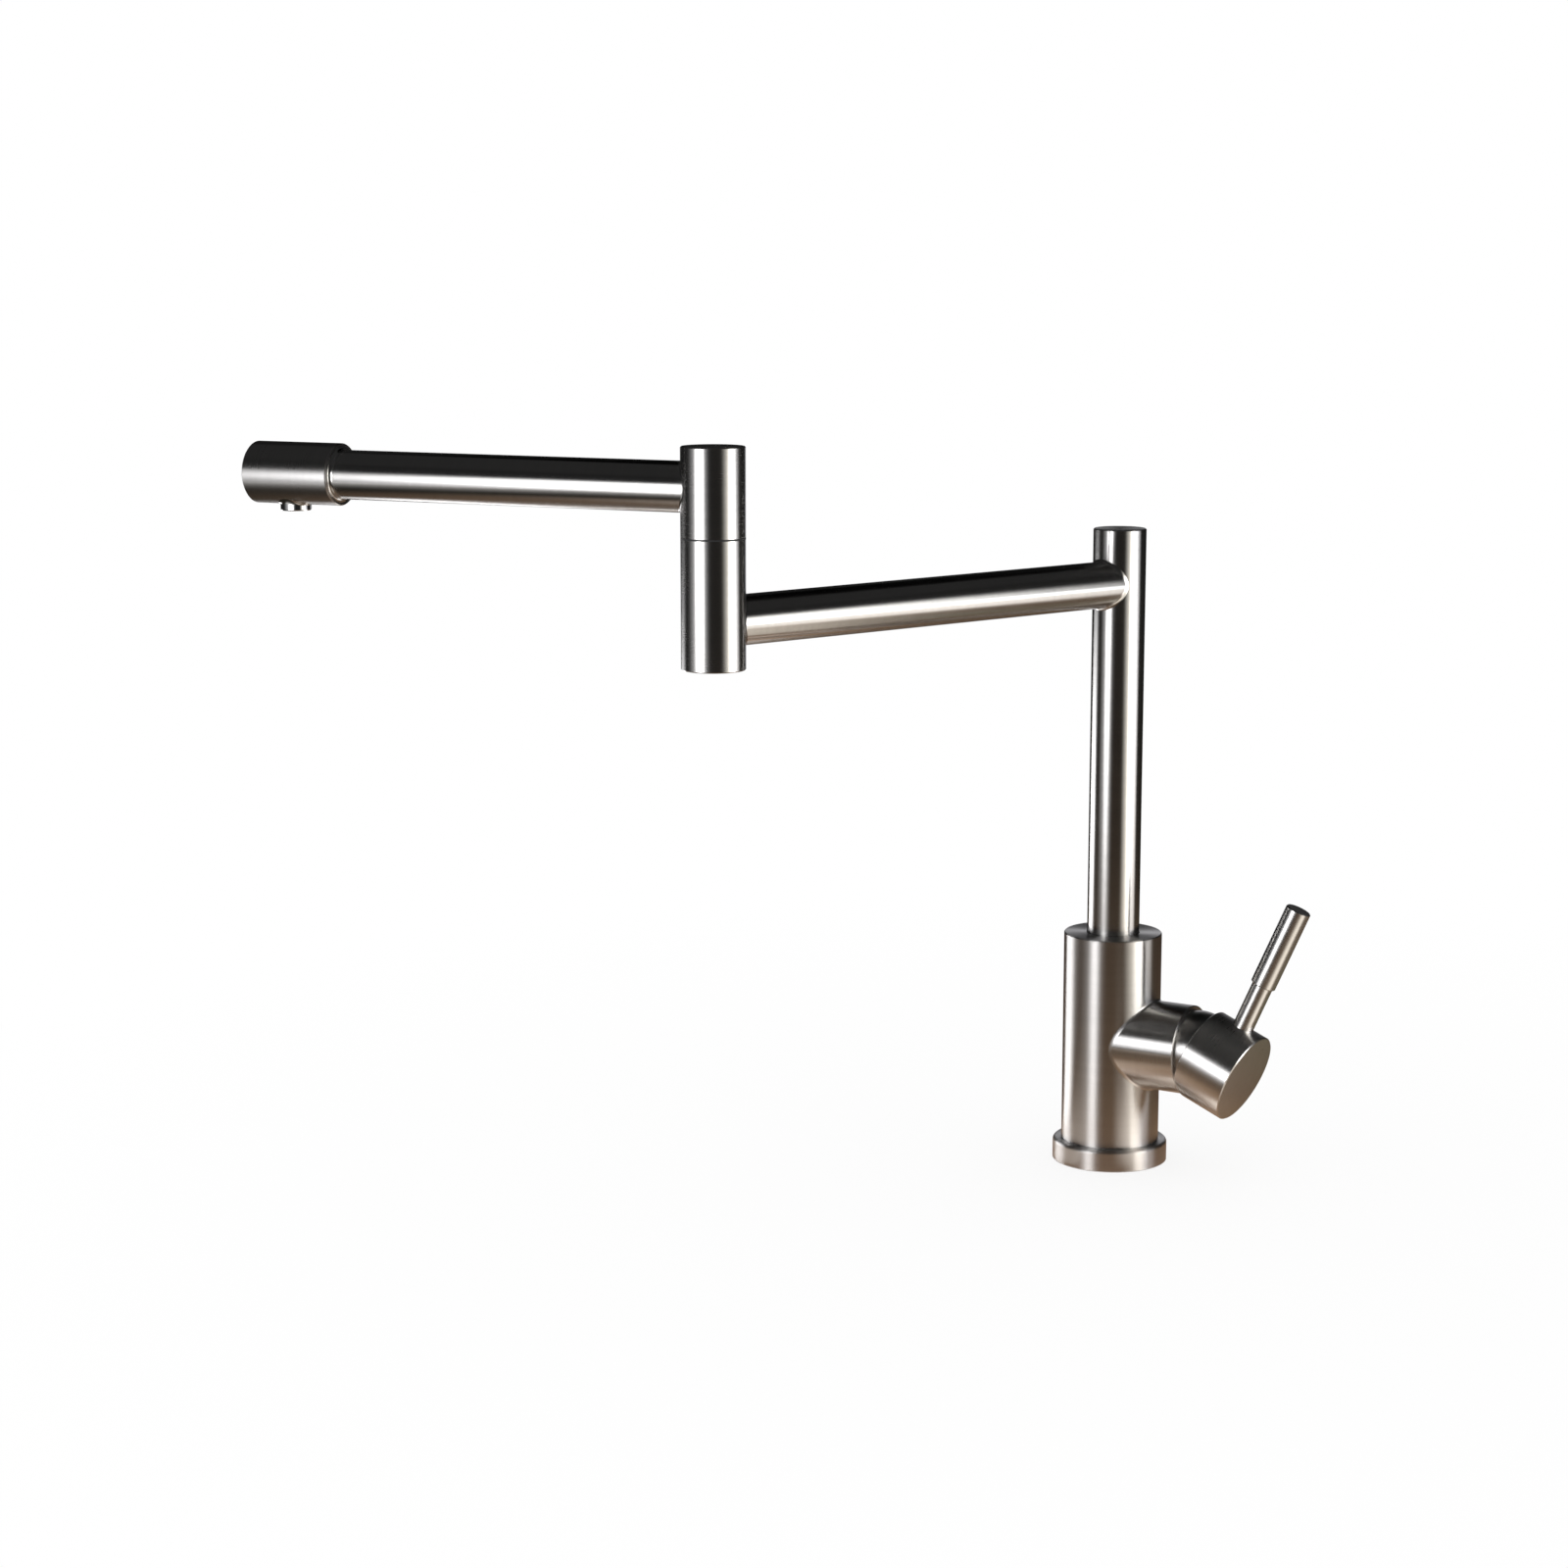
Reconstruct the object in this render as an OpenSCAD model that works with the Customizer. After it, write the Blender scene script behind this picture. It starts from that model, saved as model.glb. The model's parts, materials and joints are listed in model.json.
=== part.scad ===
// Deck-mounted single-lever tap with a long two-part arm that folds at an elbow.
// The origin is the centre of the flange's underside, on the deck. +Z is up, +X runs along
// the valve boss on the tap's right, and -Y is the front of the sink.
// Angles in plan are counted from +X, anticlockwise seen from above.

/* [Base and body] */
// Diameter of the flange on the deck
base_d = 58.8; // [54:0.2:66]
// Height of the flange
base_h = 10.8; // [8:0.2:16]
// Rounding of the flange's top edge
base_round = 1.6; // [0.5:0.1:3]
// Diameter of the body
body_d = 50; // [48:0.5:54]
// Height of the body above the flange
body_h = 108.9; // [98:0.1:130]
// Depth of the body's spigot in the flange
body_spigot = 2.8; // [1.5:0.1:5]
// Diameter of the body's spigot
spigot_d = 46.8; // [46:0.1:47.4]
// Bevel on the turned edges
edge = 0.5; // [0.2:0.1:0.8]

/* [Deck fixing and inlets] */
// Height of the inlet block's underside above the deck
block_z = 2; // [1:0.5:4]
// Diameter of the inlet block
block_d = 40.8; // [39:0.2:41.6]
// Metal between the inlet block's top and the cartridge's cavity
block_roof = 9.65; // [9:0.05:14]
// Tapping size of the hose ports, M10x1
port_d = 9; // [8.6:0.1:9.4]
// Depth of the hose ports
port_depth = 14; // [10:0.5:18]
// Half of the spacing of the hose ports
port_y = 8; // [7.5:0.1:9]
// Distance of the hose ports in front of the body's axis, towards the boss
port_x = 4; // [2:0.5:5]
// Tapping size of the deck stud hole, M8
stud_d = 6.8; // [6:0.1:8]
// Depth of the deck stud hole
stud_depth = 15; // [10:0.5:20]
// Distance of the stud hole behind the body's axis
stud_x = 12; // [11:0.5:13]
// Bore of the waterways
way_d = 7; // [5:0.5:7.5]
// Bore between the mixed waterway and the riser's socket
riser_way_d = 11.2; // [8:0.1:14]
// Section of the waterway seals
way_seal_sec = 1.6; // [1.2:0.1:2]
// Land between a waterway and its seal's groove
way_seal_land = 1.1; // [0.8:0.1:1.4]
// Thickness of the deck gasket
gasket_t = 2; // [1:0.1:3]
// Outer diameter of the deck gasket
gasket_d = 54; // [52:0.5:56]
// Inner diameter of the deck gasket
gasket_bore = 46; // [44:0.5:48]
// Diameter of the block screws, M4
block_screw_d = 4; // [3:0.5:4.5]
// Radius of the circle that the block screws stand on
block_screw_r = 15.5; // [15:0.1:16]
// Length of the block screws' thread in the body
block_screw_grip = 7.3; // [5:0.1:7.5]
// Diameter of the block screws' heads
block_head_d = 6.8; // [6:0.1:7]
// Height of the block screws' heads
block_head_h = 3; // [2.5:0.1:4]
// Hexagon socket of the block screws, across its corners
block_key_d = 3.4; // [3:0.1:4]
// Depth of the block screws' sockets
block_key_depth = 1.8; // [1.5:0.1:2.2]

/* [Riser and its swivel] */
// Diameter of the riser tube
riser_d = 26.7; // [25:0.1:28]
// Wall of the riser tube
riser_wall = 1.5; // [1:0.1:2]
// Height of the riser above the body
riser_h = 207.4; // [120:0.1:300]
// Thickness of the riser's top cap
riser_cap_t = 2; // [1.5:0.1:4]
// Length of the top cap's plug in the riser
riser_cap_plug = 4; // [2:0.5:8]
// Depth of the swivel socket in the body
socket_depth = 33.7; // [33:0.1:36]
// Metal between the riser's socket and the cartridge's cavity
socket_floor = 5.25; // [4:0.05:8]
// Thickness of the thrust washer under the foot
foot_washer_t = 1.5; // [1:0.1:2]
// Length of the foot under the tube
foot_h = 20.5; // [20:0.1:21.5]
// Length of the foot's spigot in the tube
foot_spigot = 14; // [8:0.5:20]
// Bore of the foot
foot_bore = 14; // [10:0.5:16]
// Section of the O-rings
ring_sec = 2.3; // [2:0.1:2.5]
// Foot's lower end to the middle of its lower O-ring
ring_up = 3.5; // [3:0.1:4]
// Land between the foot's two O-ring grooves
ring_land = 1.9; // [1.5:0.1:2.2]
// Land between the upper O-ring's groove and the lower bush
bush_land = 1.2; // [1:0.1:1.5]
// Diameter of the retaining screw, M5
keep_screw_d = 5; // [4:0.5:6]
// Diameter of the retaining screw's tip
keep_tip_d = 3.6; // [3:0.1:3.8]
// Clearance of the tip in the foot's groove
keep_play = 0.4; // [0.3:0.05:0.5]
// Depth of the groove that the tip runs in
keep_groove = 2.15; // [2:0.05:2.5]
// Foot's shoulder down to the retaining screw's axis
keep_down = 3.5; // [3.3:0.1:3.6]
// How far the retaining screw is sunk in the body
keep_sink = 1.5; // [0.5:0.1:3]
// Height of the bushes
bush_h = 3; // [2:0.1:3.4]
// Body's top down to the top bush's underside
top_bush_down = 6.5; // [5:0.1:8]
// Depth of the lower bush's groove
bush_groove = 1; // [0.6:0.1:1.4]
// Wall of the top bush
bush_wall = 1.8; // [1.2:0.1:2.5]

/* [Arms] */
// Diameter of the arm tubes
arm_d = 23.4; // [20:0.1:25]
// Wall of the arm tubes
arm_wall = 1.5; // [1:0.1:2]
// Bore that joins a tube to what it is welded to
arm_port_d = 14; // [10:0.5:14.5]
// Distance of the lower arm's axis below the riser's top
arm1_drop = 27.8; // [20:0.1:60]
// Length of the lower arm, from the riser's axis to the elbow's axis
arm1_len = 262.8; // [200:0.1:330]
// Direction of the lower arm in plan
arm1_dir = 252.1; // [180:0.1:300]
// Direction of the upper arm in plan
arm2_dir = 186.9; // [150:0.1:240]
// Length of the upper arm, from the elbow's axis to the head
arm2_len = 196.7; // [150:0.1:220]

/* [Elbow] */
// Diameter of the two knuckles
knuckle_d = 29.6; // [28.6:0.1:34]
// Bore of the knuckles
knuckle_bore = 22; // [21.6:0.1:23]
// Lower arm's axis down to the lower knuckle's end
knuckle_below = 21.5; // [18:0.1:30]
// Lower arm's axis up to the seam
knuckle_above = 38.3; // [34:0.1:50]
// Height of the seam, which is the thrust washer's thickness
seam = 0.5; // [0.4:0.1:1]
// Seam up to the upper arm's axis
arm2_rise = 22.6; // [22:0.1:30]
// Upper arm's axis up to the upper knuckle's end
knuckle_top = 18.7; // [18.5:0.1:30]
// Thickness of the plugs in the knuckles
plug_t = 2.5; // [2:0.1:3]
// Diameter of the elbow's spindle
spindle_d = 16; // [15:0.1:16.4]
// Bore of the elbow's spindle
spindle_bore = 9; // [7:0.5:10]
// Diameter of the cross holes in the spindle
window_d = 7.2; // [5:0.1:8]
// Length of the spindle's threaded foot
spindle_foot = 15; // [10:0.5:18]
// Length of the spindle beyond the upper knuckle's neck
spindle_end = 3.2; // [3:0.1:4]
// Section of the elbow's O-rings
elbow_ring_sec = 1.8; // [1.5:0.1:2]
// Seam up to the middle of the elbow's lower O-ring
elbow_ring_up = 7.5; // [4:0.1:9]
// Height of the neck above the upper knuckle's water chamber
neck_h = 3.5; // [3:0.1:4]
// Height of the water chamber above and below the arm's port
chamber_side = 0.5; // [0.2:0.1:1]
// Thickness of the circlip
clip_t = 1.2; // [1:0.1:1.4]
// Depth of the circlip's groove
clip_groove = 1; // [0.8:0.1:1.2]
// How far the circlip stands out round the spindle
clip_out = 1.5; // [1:0.1:2]
// Opening of the circlip
clip_open = 4; // [3:0.5:6]
// Thickness of the washer under the circlip
clip_washer_t = 0.8; // [0.6:0.1:1]
// How far the seam's washer lies back from the knuckle's surface
seam_back = 1.2; // [0.6:0.1:2]
// Bevel on the two edges at the seam
seam_edge = 0.2; // [0.1:0.05:0.4]

/* [Head and outlet] */
// Diameter of the head
head_d = 29.6; // [28:0.1:32]
// Length of the head
head_len = 47.2; // [44:0.1:60]
// Depth of the arm's socket in the head
head_socket = 10; // [6:0.5:12]
// Bore of the head
head_bore = 16; // [12:0.5:16.5]
// Diameter of the head's end plug
head_plug_d = 24; // [20:0.5:26]
// Thickness of the head's end plug
head_plug_t = 3.5; // [2:0.1:6]
// Head's step to the outlet's axis
outlet_x = 26.3; // [20:0.1:28]
// Diameter of the aerator's housing
outlet_d = 14.7; // [12:0.1:16]
// Diameter of the waterway above the aerator
outlet_way_d = 10; // [8:0.2:12]
// How far the aerator stands out below the head
outlet_drop = 3; // [1:0.1:5]
// Length of the aerator's housing
aerator_h = 7.2; // [7:0.1:7.4]
// Wall of the aerator's housing
aerator_wall = 1.2; // [1:0.1:1.6]
// Thickness of the lip that holds the insert
aerator_lip = 0.8; // [0.6:0.1:1.2]
// Width of the lip that holds the insert
aerator_lip_w = 0.6; // [0.4:0.1:1]
// Number of jets round the middle one
jets = 6; // [4:1:8]
// Radius of the circle that the jets stand on
jet_circle_r = 3.4; // [3:0.1:4]
// Diameter of the jets
jet_d = 1.9; // [1.2:0.1:2]
// Thickness of the aerator's seal
aerator_seal_t = 1.3; // [1:0.1:1.4]

/* [Valve boss and cartridge] */
// Diameter of the boss
boss_d = 45.4; // [44.6:0.1:46]
// Body's axis to the boss's end
boss_len = 45.1; // [44.5:0.1:46]
// Diameter of the cartridge
cart_d = 35; // [34.8:0.1:35.2]
// Body's axis to the floor of the cartridge's cavity
cart_floor = 12; // [11.8:0.1:12.2]
// Thickness of the cartridge's base
cart_base_t = 4.7; // [4.4:0.1:5]
// Squeeze gap that the port seals leave under the cartridge
cart_gap = 0.3; // [0.2:0.05:0.4]
// Thickness of each ceramic disc
disc_t = 4; // [3.6:0.1:4.2]
// Diameter of the mixing hollow in the moving disc
mix_d = 12; // [10:0.5:14]
// Depth of the mixing hollow
mix_depth = 2; // [1:0.1:2.5]
// Diameter of the fixed disc
fixed_disc_d = 29.6; // [28:0.2:30]
// Diameter of the moving disc
moving_disc_d = 23; // [20:0.2:23]
// Height of the slider on the moving disc
slider_t = 6.6; // [6:0.1:6.8]
// Diameter of the slider
slider_d = 22; // [19:0.5:22]
// Gap between the slider and the guide's flange
guide_gap = 1.1; // [0.8:0.1:1.2]
// Cartridge ports' height above and below the boss's axis
port_up = 8; // [7.6:0.1:8.4]
// Inlet ports' height below the boss's axis
port_down = 6.2; // [5.8:0.1:6.6]
// Diameter of the pegs that place the cartridge
peg_d = 3; // [2.5:0.1:3.4]
// Length of the pegs
peg_len = 2.5; // [2:0.1:3]
// Half of the pegs' spacing
peg_y = 12.5; // [12:0.1:13]
// Pegs' height above the boss's axis
peg_up = 5; // [4.6:0.1:5.4]
// Wall of the cartridge's housing
housing_wall = 2; // [1.8:0.1:2.2]
// Thickness of the housing's ledge over the guide's flange
ledge_t = 2; // [1.8:0.1:2.2]
// How far the housing's nose ends inside the boss
nose_back = 1.6; // [1:0.1:3]
// Section of the cartridge's port seals
port_seal_sec = 1.8; // [1.6:0.1:2]
// Diameter of the nut's thread in the boss
nut_d = 40; // [39:0.2:40.6]
// Bore of the cartridge's nut
nut_bore = 27.2; // [27:0.1:27.6]
// Diameter of the nut's nose, which carries the bonnet
nut_nose_d = 29; // [28.8:0.1:30]
// Length of the nut's nose
nut_nose = 6; // [4:0.5:8]
// Width of the nut's key slots
key_slot_w = 4; // [3:0.5:5]
// Depth of the nut's key slots
key_slot_depth = 3; // [2:0.5:4]

/* [Handle] */
// Boss's end to the tilt pivot
pivot_out = 3.6; // [3.2:0.1:4]
// Radius of the bonnet's dome about the pivot
dome_r = 20.7; // [20:0.1:20.8]
// Pivot to the bonnet's open end
dome_front = 10.5; // [9:0.1:11]
// Diameter of the handle's cap
cap_d = 47; // [46:0.1:50]
// Pivot to the cap's back edge
cap_back = 1.5; // [0.5:0.1:3]
// Pivot to the cap's face
cap_front = 28.9; // [28.5:0.1:34]
// Gap between the tilted cap and the boss
cap_gap = 0.8; // [0.5:0.1:1.2]
// Clearance between the cap's inside and the dome
dome_clear = 0.5; // [0.3:0.1:0.6]
// How far the handle leans out at rest, where it is open, in degrees
tilt_rest = 22; // [15:1:22]
// How far the handle is turned to the back at rest, in degrees
turn_rest = 7; // [0:1:15]
// Pivot to the lever's axis, along the cap
lever_out = 16.5; // [15:0.1:18]
// Diameter of the lever's thin part
lever_d = 10.7; // [9:0.1:12]
// Diameter of the lever's grip
grip_d = 12.9; // [11:0.1:16]
// Cap's axis to the grip's lower end
grip_from = 47.1; // [40:0.1:60]
// Cap's axis to the lever's tip
lever_tip = 90.4; // [80:0.1:130]
// Diameter of the lever's thread in the cap
lever_thread_d = 8; // [6:0.5:8]
// Depth of the lever's seat in the cap
lever_seat_depth = 1.2; // [0.8:0.1:2]
// Diameter of the spigot that carries the grip
grip_spigot_d = 7.2; // [6:0.1:8]
// Length of the spigot that carries the grip
grip_spigot = 13; // [8:0.5:20]

/* [Spindle of the valve] */
// Width of the spindle's square
square_w = 8; // [7.4:0.1:8]
// Pivot to the square's inner end
square_in = 7; // [6:0.5:8]
// Pivot to the spindle's outer end
spindle_out = 27; // [25:0.1:27.2]
// Pivot to the centre of the spindle's ball
ball_arm = 19; // [18.6:0.1:19.2]
// Diameter of the spindle's ball
ball_d = 8; // [7.4:0.1:8]
// Diameter of the neck behind the ball
ball_neck_d = 6; // [5:0.1:6]
// Diameter of the spindle's pivot pin
pin_d = 3; // [2.5:0.1:3.5]
// How far the pin's ends lie inside the guide's neck
pin_back = 0.5; // [0.3:0.1:1]
// Diameter of the guide's neck
guide_d = 21.8; // [21:0.1:22]
// Pivot to the guide's outer end
guide_end = 4.8; // [4:0.1:5.4]
// Diameter of the guide's flange
guide_flange_d = 29.6; // [28:0.1:30]
// Thickness of the guide's flange
guide_flange_t = 2; // [1.6:0.1:2.4]
// Play between the spindle's square and the guide's cheeks
cheek_play = 0.2; // [0.1:0.05:0.3]
// Play between the guide's flange and the housing's ledge
ledge_play = 0.2; // [0.1:0.05:0.3]
// Diameter of the handle's grub screw, M5
grub_d = 5; // [4:0.5:5]
// Length of the handle's grub screw
grub_len = 8; // [5:0.5:12]
// Hexagon socket of the M5 grub screws, across its corners
grub_key_d = 2.75; // [2.5:0.05:3]
// Depth of the grub screws' sockets
grub_key_depth = 3; // [2:0.5:4]
// Diameter of the hub inside the cap
hub_d = 16; // [15:0.5:16.4]
// Pivot to the hub's inner end
hub_x = 16.5; // [16:0.1:18]

/* [Hidden] */
$fn = 96;
// Clearance of threads, plugs and other fixed fits, on the radius
fit = 0.05;
// Clearance of running fits, on the radius
run = 0.08;
// Clearance between moving pieces that don't touch
free = 0.3;
// Clearance of a screw's shank in a plain hole, on the radius
shank = 0.2;
// Room past the end of a screw, a pin or a lever
room = 0.5;
// Length by which a cut runs past a face
past = 1;

steel = "#b8b1a6";
bright = "#d8d6d2";
brass = "#c8a24a";
acetal = "#e8e6df";
rubber = "#2b2b2b";
ceramic = "#f3f1ec";

body_r = body_d / 2;
body_top = base_h + body_h;
// The riser's socket stands on the boss's cavity, and the inlet block ends below it.
cavity_d = cart_d + 2 * fit;
boss_z = body_top - socket_depth - socket_floor - cavity_d / 2;
block_top = boss_z - cavity_d / 2 - block_roof;
block_h = block_top - block_z;
block_hole_d = block_d + 2 * fit;
way_seal_mid_d = way_d + way_seal_sec + 2 * way_seal_land;
block_screw_angles = [0, 125, 235];
block_head_z = block_z + free;
block_screw_len = block_top + block_screw_grip - block_head_z - block_head_h;

riser_r = riser_d / 2;
riser_bore = riser_d - 2 * riser_wall;
riser_top = body_top + riser_h;
socket_d = riser_d + 2 * free;
socket_z = body_top - socket_depth;
foot_z = socket_z + foot_washer_t;
tube_z = foot_z + foot_h;
ring_groove_h = ring_sec + free;
ring_mid_d = socket_d - ring_sec - 2 * run;
ring1_z = foot_z + ring_up;
ring2_z = ring1_z + ring_groove_h + ring_land;
lower_bush_z = ring2_z + ring_groove_h / 2 + bush_land;
keep_z = tube_z - keep_down;
keep_groove_h = keep_tip_d + 2 * keep_play;
keep_groove_r = riser_r - keep_groove;
top_bush_z = body_top - top_bush_down;

arm_bore = arm_d - 2 * arm_wall;
arm1_z = riser_top - arm1_drop;
knuckle_z = arm1_z - knuckle_below;
seam_z = arm1_z + knuckle_above;
arm2_z = seam_z + arm2_rise;
knuckle_end = arm2_z + knuckle_top;
chamber_h = arm_port_d + 2 * chamber_side;
neck_z = arm2_z + chamber_h / 2;
clip_z = neck_z + neck_h;
clip_groove_d = spindle_d - 2 * clip_groove;
elbow_ring_mid_d = spindle_d - elbow_ring_sec + 2 * (run - fit);
elbow_ring_z = [seam_z + elbow_ring_up, neck_z + neck_h / 2];

outlet_top = head_d / 2 + outlet_drop - aerator_h;
outlet_seat = outlet_top - aerator_seal_t;
insert_d = outlet_d - 2 * aerator_wall - 2 * fit;

pivot_x = boss_len + pivot_out;
base_x = cart_floor + cart_gap;
disc1_x = base_x + cart_base_t;
disc2_x = disc1_x + disc_t + fit;
slider_x = disc2_x + disc_t;
slider_end = slider_x + slider_t;
guide_x = slider_end + guide_gap;
ledge_x = guide_x + guide_flange_t + ledge_play;
nut_x = ledge_x + ledge_t;
nose_end = boss_len - nose_back;
port_seal_mid_d = way_d + port_seal_sec + 2 * run;
housing_bore = cart_d - 2 * housing_wall;
ball_shift = ball_arm * sin(tilt_rest);
disc_shift = ball_shift / 2;
dome_bore = nut_nose_d + 2 * fit;
cap_bore = 2 * (dome_r + dome_clear);
lever_seat = cap_d / 2 - lever_seat_depth;
grub_x = spindle_out - grub_d / 2;

// A turned rod, bevelled at its low and high ends.
module rod(d, h, low = edge, high = edge) {
    rotate_extrude()
        polygon([[0, 0], [d / 2 - low, 0], [d / 2, low], [d / 2, h - high],
            [d / 2 - high, h], [0, h]]);
}

// A plain ring or tube.
module ring(d, bore, h) {
    difference() {
        cylinder(d = d, h = h);
        translate([0, 0, -past]) cylinder(d = bore, h = h + 2 * past);
    }
}

// An O-ring about the local Z axis.
module o_ring(mid_d, section) {
    rotate_extrude() translate([mid_d / 2, 0]) circle(d = section);
}

// Lays a shape's Z axis along +X, starting from a point.
module along_x(x, y = 0, z = 0) {
    translate([x, y, z]) rotate([0, 90, 0]) children();
}

// The boss's own frame: its X axis is the row's X axis, raised to the boss.
module at_boss() {
    translate([0, 0, boss_z]) children();
}

// The tilt pivot, on the boss's axis.
module at_pivot() {
    translate([pivot_x, 0, boss_z]) children();
}

// The frame that turns with the handle, about the boss's axis, with the tilt pivot at 0.
module at_turn() {
    at_pivot() rotate([-turn_rest, 0, 0]) children();
}

// The handle's own frame: X along the cap's axis, Z along the lever, the pivot at 0.
module at_handle() {
    at_turn() rotate([0, tilt_rest, 0]) children();
}

// The lower arm's frame: X along the arm, from the riser's axis.
module at_arm1() {
    rotate([0, 0, arm1_dir]) children();
}

// The elbow's frame: its Z axis is the elbow's axis, and X runs along the lower arm.
module at_elbow() {
    at_arm1() translate([arm1_len, 0, 0]) children();
}

// The upper arm's frame: X along the arm, from the elbow's axis.
module at_arm2() {
    at_elbow() rotate([0, 0, arm2_dir - arm1_dir]) children();
}

// Places of the two hose ports and the waterways above them.
module at_inlets(z) {
    for (side = [-1, 1]) translate([port_x, side * port_y, z]) children();
}

// Places of the screws that hold the inlet block.
module at_block_screws(z) {
    for (angle = block_screw_angles)
        rotate([0, 0, angle]) translate([block_screw_r, 0, z]) children();
}

// Places of the cartridge's three ports, on a plane across the boss.
module at_cartridge_ports(x) {
    for (side = [-1, 1]) along_x(x, side * port_y, boss_z - port_down) children();
    along_x(x, 0, boss_z + port_up) children();
}

// Places of the two pegs on the cartridge's base.
module at_pegs(x) {
    for (side = [-1, 1]) along_x(x, side * peg_y, boss_z + peg_up) children();
}

module base_flange() {
    color(steel) difference() {
        rotate_extrude() union() {
            square([base_d / 2, base_h - base_round]);
            square([base_d / 2 - base_round, base_h]);
            translate([base_d / 2 - base_round, base_h - base_round]) circle(r = base_round);
        }
        translate([0, 0, -past]) cylinder(d = block_hole_d, h = base_h + 2 * past);
        translate([0, 0, base_h - body_spigot])
            cylinder(d = spigot_d + 2 * fit, h = body_spigot + past);
        translate([0, 0, -past]) ring(gasket_d + 2 * fit, gasket_bore - 2 * fit, gasket_t + past);
    }
}

module deck_gasket() {
    color(rubber) ring(gasket_d, gasket_bore, gasket_t);
}

module body_casting() {
    color(steel) difference() {
        union() {
            translate([0, 0, base_h]) rod(body_d, body_h);
            translate([0, 0, base_h - body_spigot]) cylinder(d = spigot_d, h = body_spigot + edge);
            at_boss() along_x(0) rod(boss_d, boss_len);
        }
        // Room for the inlet block, and its screws' tapped holes.
        translate([0, 0, base_h - body_spigot - past])
            cylinder(d = block_hole_d, h = block_top - base_h + body_spigot + past);
        at_block_screws(block_top - past)
            cylinder(d = block_screw_d + 2 * fit, h = block_screw_grip + room + past);
        // Inlet waterways, up and across to the cartridge.
        at_inlets(block_top - past) cylinder(d = way_d, h = boss_z - port_down - block_top + past);
        for (side = [-1, 1])
            along_x(port_x, side * port_y, boss_z - port_down)
                cylinder(d = way_d, h = cart_floor - port_x + past);
        for (side = [-1, 1])
            translate([port_x, side * port_y, boss_z - port_down]) sphere(d = way_d);
        // Mixed water, from the cartridge to the riser's socket.
        along_x(0, 0, boss_z + port_up) cylinder(d = way_d, h = cart_floor + past);
        translate([0, 0, boss_z + port_up - way_d / 2])
            cylinder(d = riser_way_d, h = socket_z - boss_z - port_up + way_d / 2 + past);
        // Cartridge's cavity and the nut's thread.
        at_boss() along_x(cart_floor) cylinder(d = cavity_d, h = boss_len);
        at_boss() along_x(nut_x) cylinder(d = nut_d + 2 * fit, h = boss_len);
        // Holes for the pegs that place the cartridge.
        at_pegs(cart_floor - peg_len - fit) cylinder(d = peg_d + 2 * fit, h = peg_len + past);
        // Riser's socket, the top bush's groove and the retaining screw's hole.
        translate([0, 0, socket_z]) cylinder(d = socket_d, h = socket_depth + past);
        translate([0, 0, top_bush_z - fit])
            cylinder(d = riser_d + 2 * bush_wall + 2 * run, h = bush_h + 2 * fit);
        translate([0, riser_r - past, keep_z]) rotate([-90, 0, 0])
            cylinder(d = keep_screw_d + 2 * fit, h = body_r);
    }
}

module inlet_block() {
    color(brass) difference() {
        translate([0, 0, block_z]) rod(block_d, block_h);
        at_inlets(block_z - past) cylinder(d = port_d, h = port_depth + past);
        at_inlets(block_z) cylinder(d = way_d, h = block_h + past);
        at_inlets(block_top - way_seal_sec - 2 * fit)
            ring(way_seal_mid_d + way_seal_sec + 2 * run, way_seal_mid_d - way_seal_sec - 2 * run,
                way_seal_sec + past);
        translate([-stud_x, 0, block_z - past]) cylinder(d = stud_d, h = stud_depth + past);
        at_block_screws(block_z - past)
            cylinder(d = block_head_d + 2 * free, h = block_head_z - block_z + block_head_h + past);
        at_block_screws(block_z) cylinder(d = block_screw_d + 2 * shank, h = block_h + past);
    }
}

module way_seals() {
    color(rubber) at_inlets(block_top - way_seal_sec / 2 - fit)
        o_ring(way_seal_mid_d, way_seal_sec);
}

// A screw's hexagon socket, opening downwards at the local origin.
module hex_socket(across, depth) {
    translate([0, 0, -past]) cylinder(d = across, h = depth + past, $fn = 6);
}

// Cap screws, their heads down and their shanks up.
module block_screws() {
    color(bright) at_block_screws(block_head_z) difference() {
        union() {
            cylinder(d = block_head_d, h = block_head_h);
            cylinder(d = block_screw_d, h = block_head_h + block_screw_len);
        }
        hex_socket(block_key_d, block_key_depth);
    }
}

module foot_washer() {
    color(acetal) translate([0, 0, socket_z])
        ring(socket_d - 2 * fit, foot_bore, foot_washer_t - fit);
}

module top_bush() {
    color(acetal) translate([0, 0, top_bush_z])
        ring(riser_d + 2 * bush_wall, riser_d + 2 * run, bush_h);
}

// A grub screw along +Y with a dog point towards the axis.
module riser_screw() {
    inner = riser_r + 2 * free;
    outer = body_r - keep_sink;
    color(bright) translate([0, 0, keep_z]) rotate([-90, 0, 0]) difference() {
        union() {
            translate([0, 0, keep_groove_r + 3 * free])
                cylinder(d = keep_tip_d, h = inner - keep_groove_r);
            translate([0, 0, inner]) cylinder(d = keep_screw_d, h = outer - inner);
        }
        translate([0, 0, outer]) mirror([0, 0, 1]) hex_socket(grub_key_d, grub_key_depth);
    }
}

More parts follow.
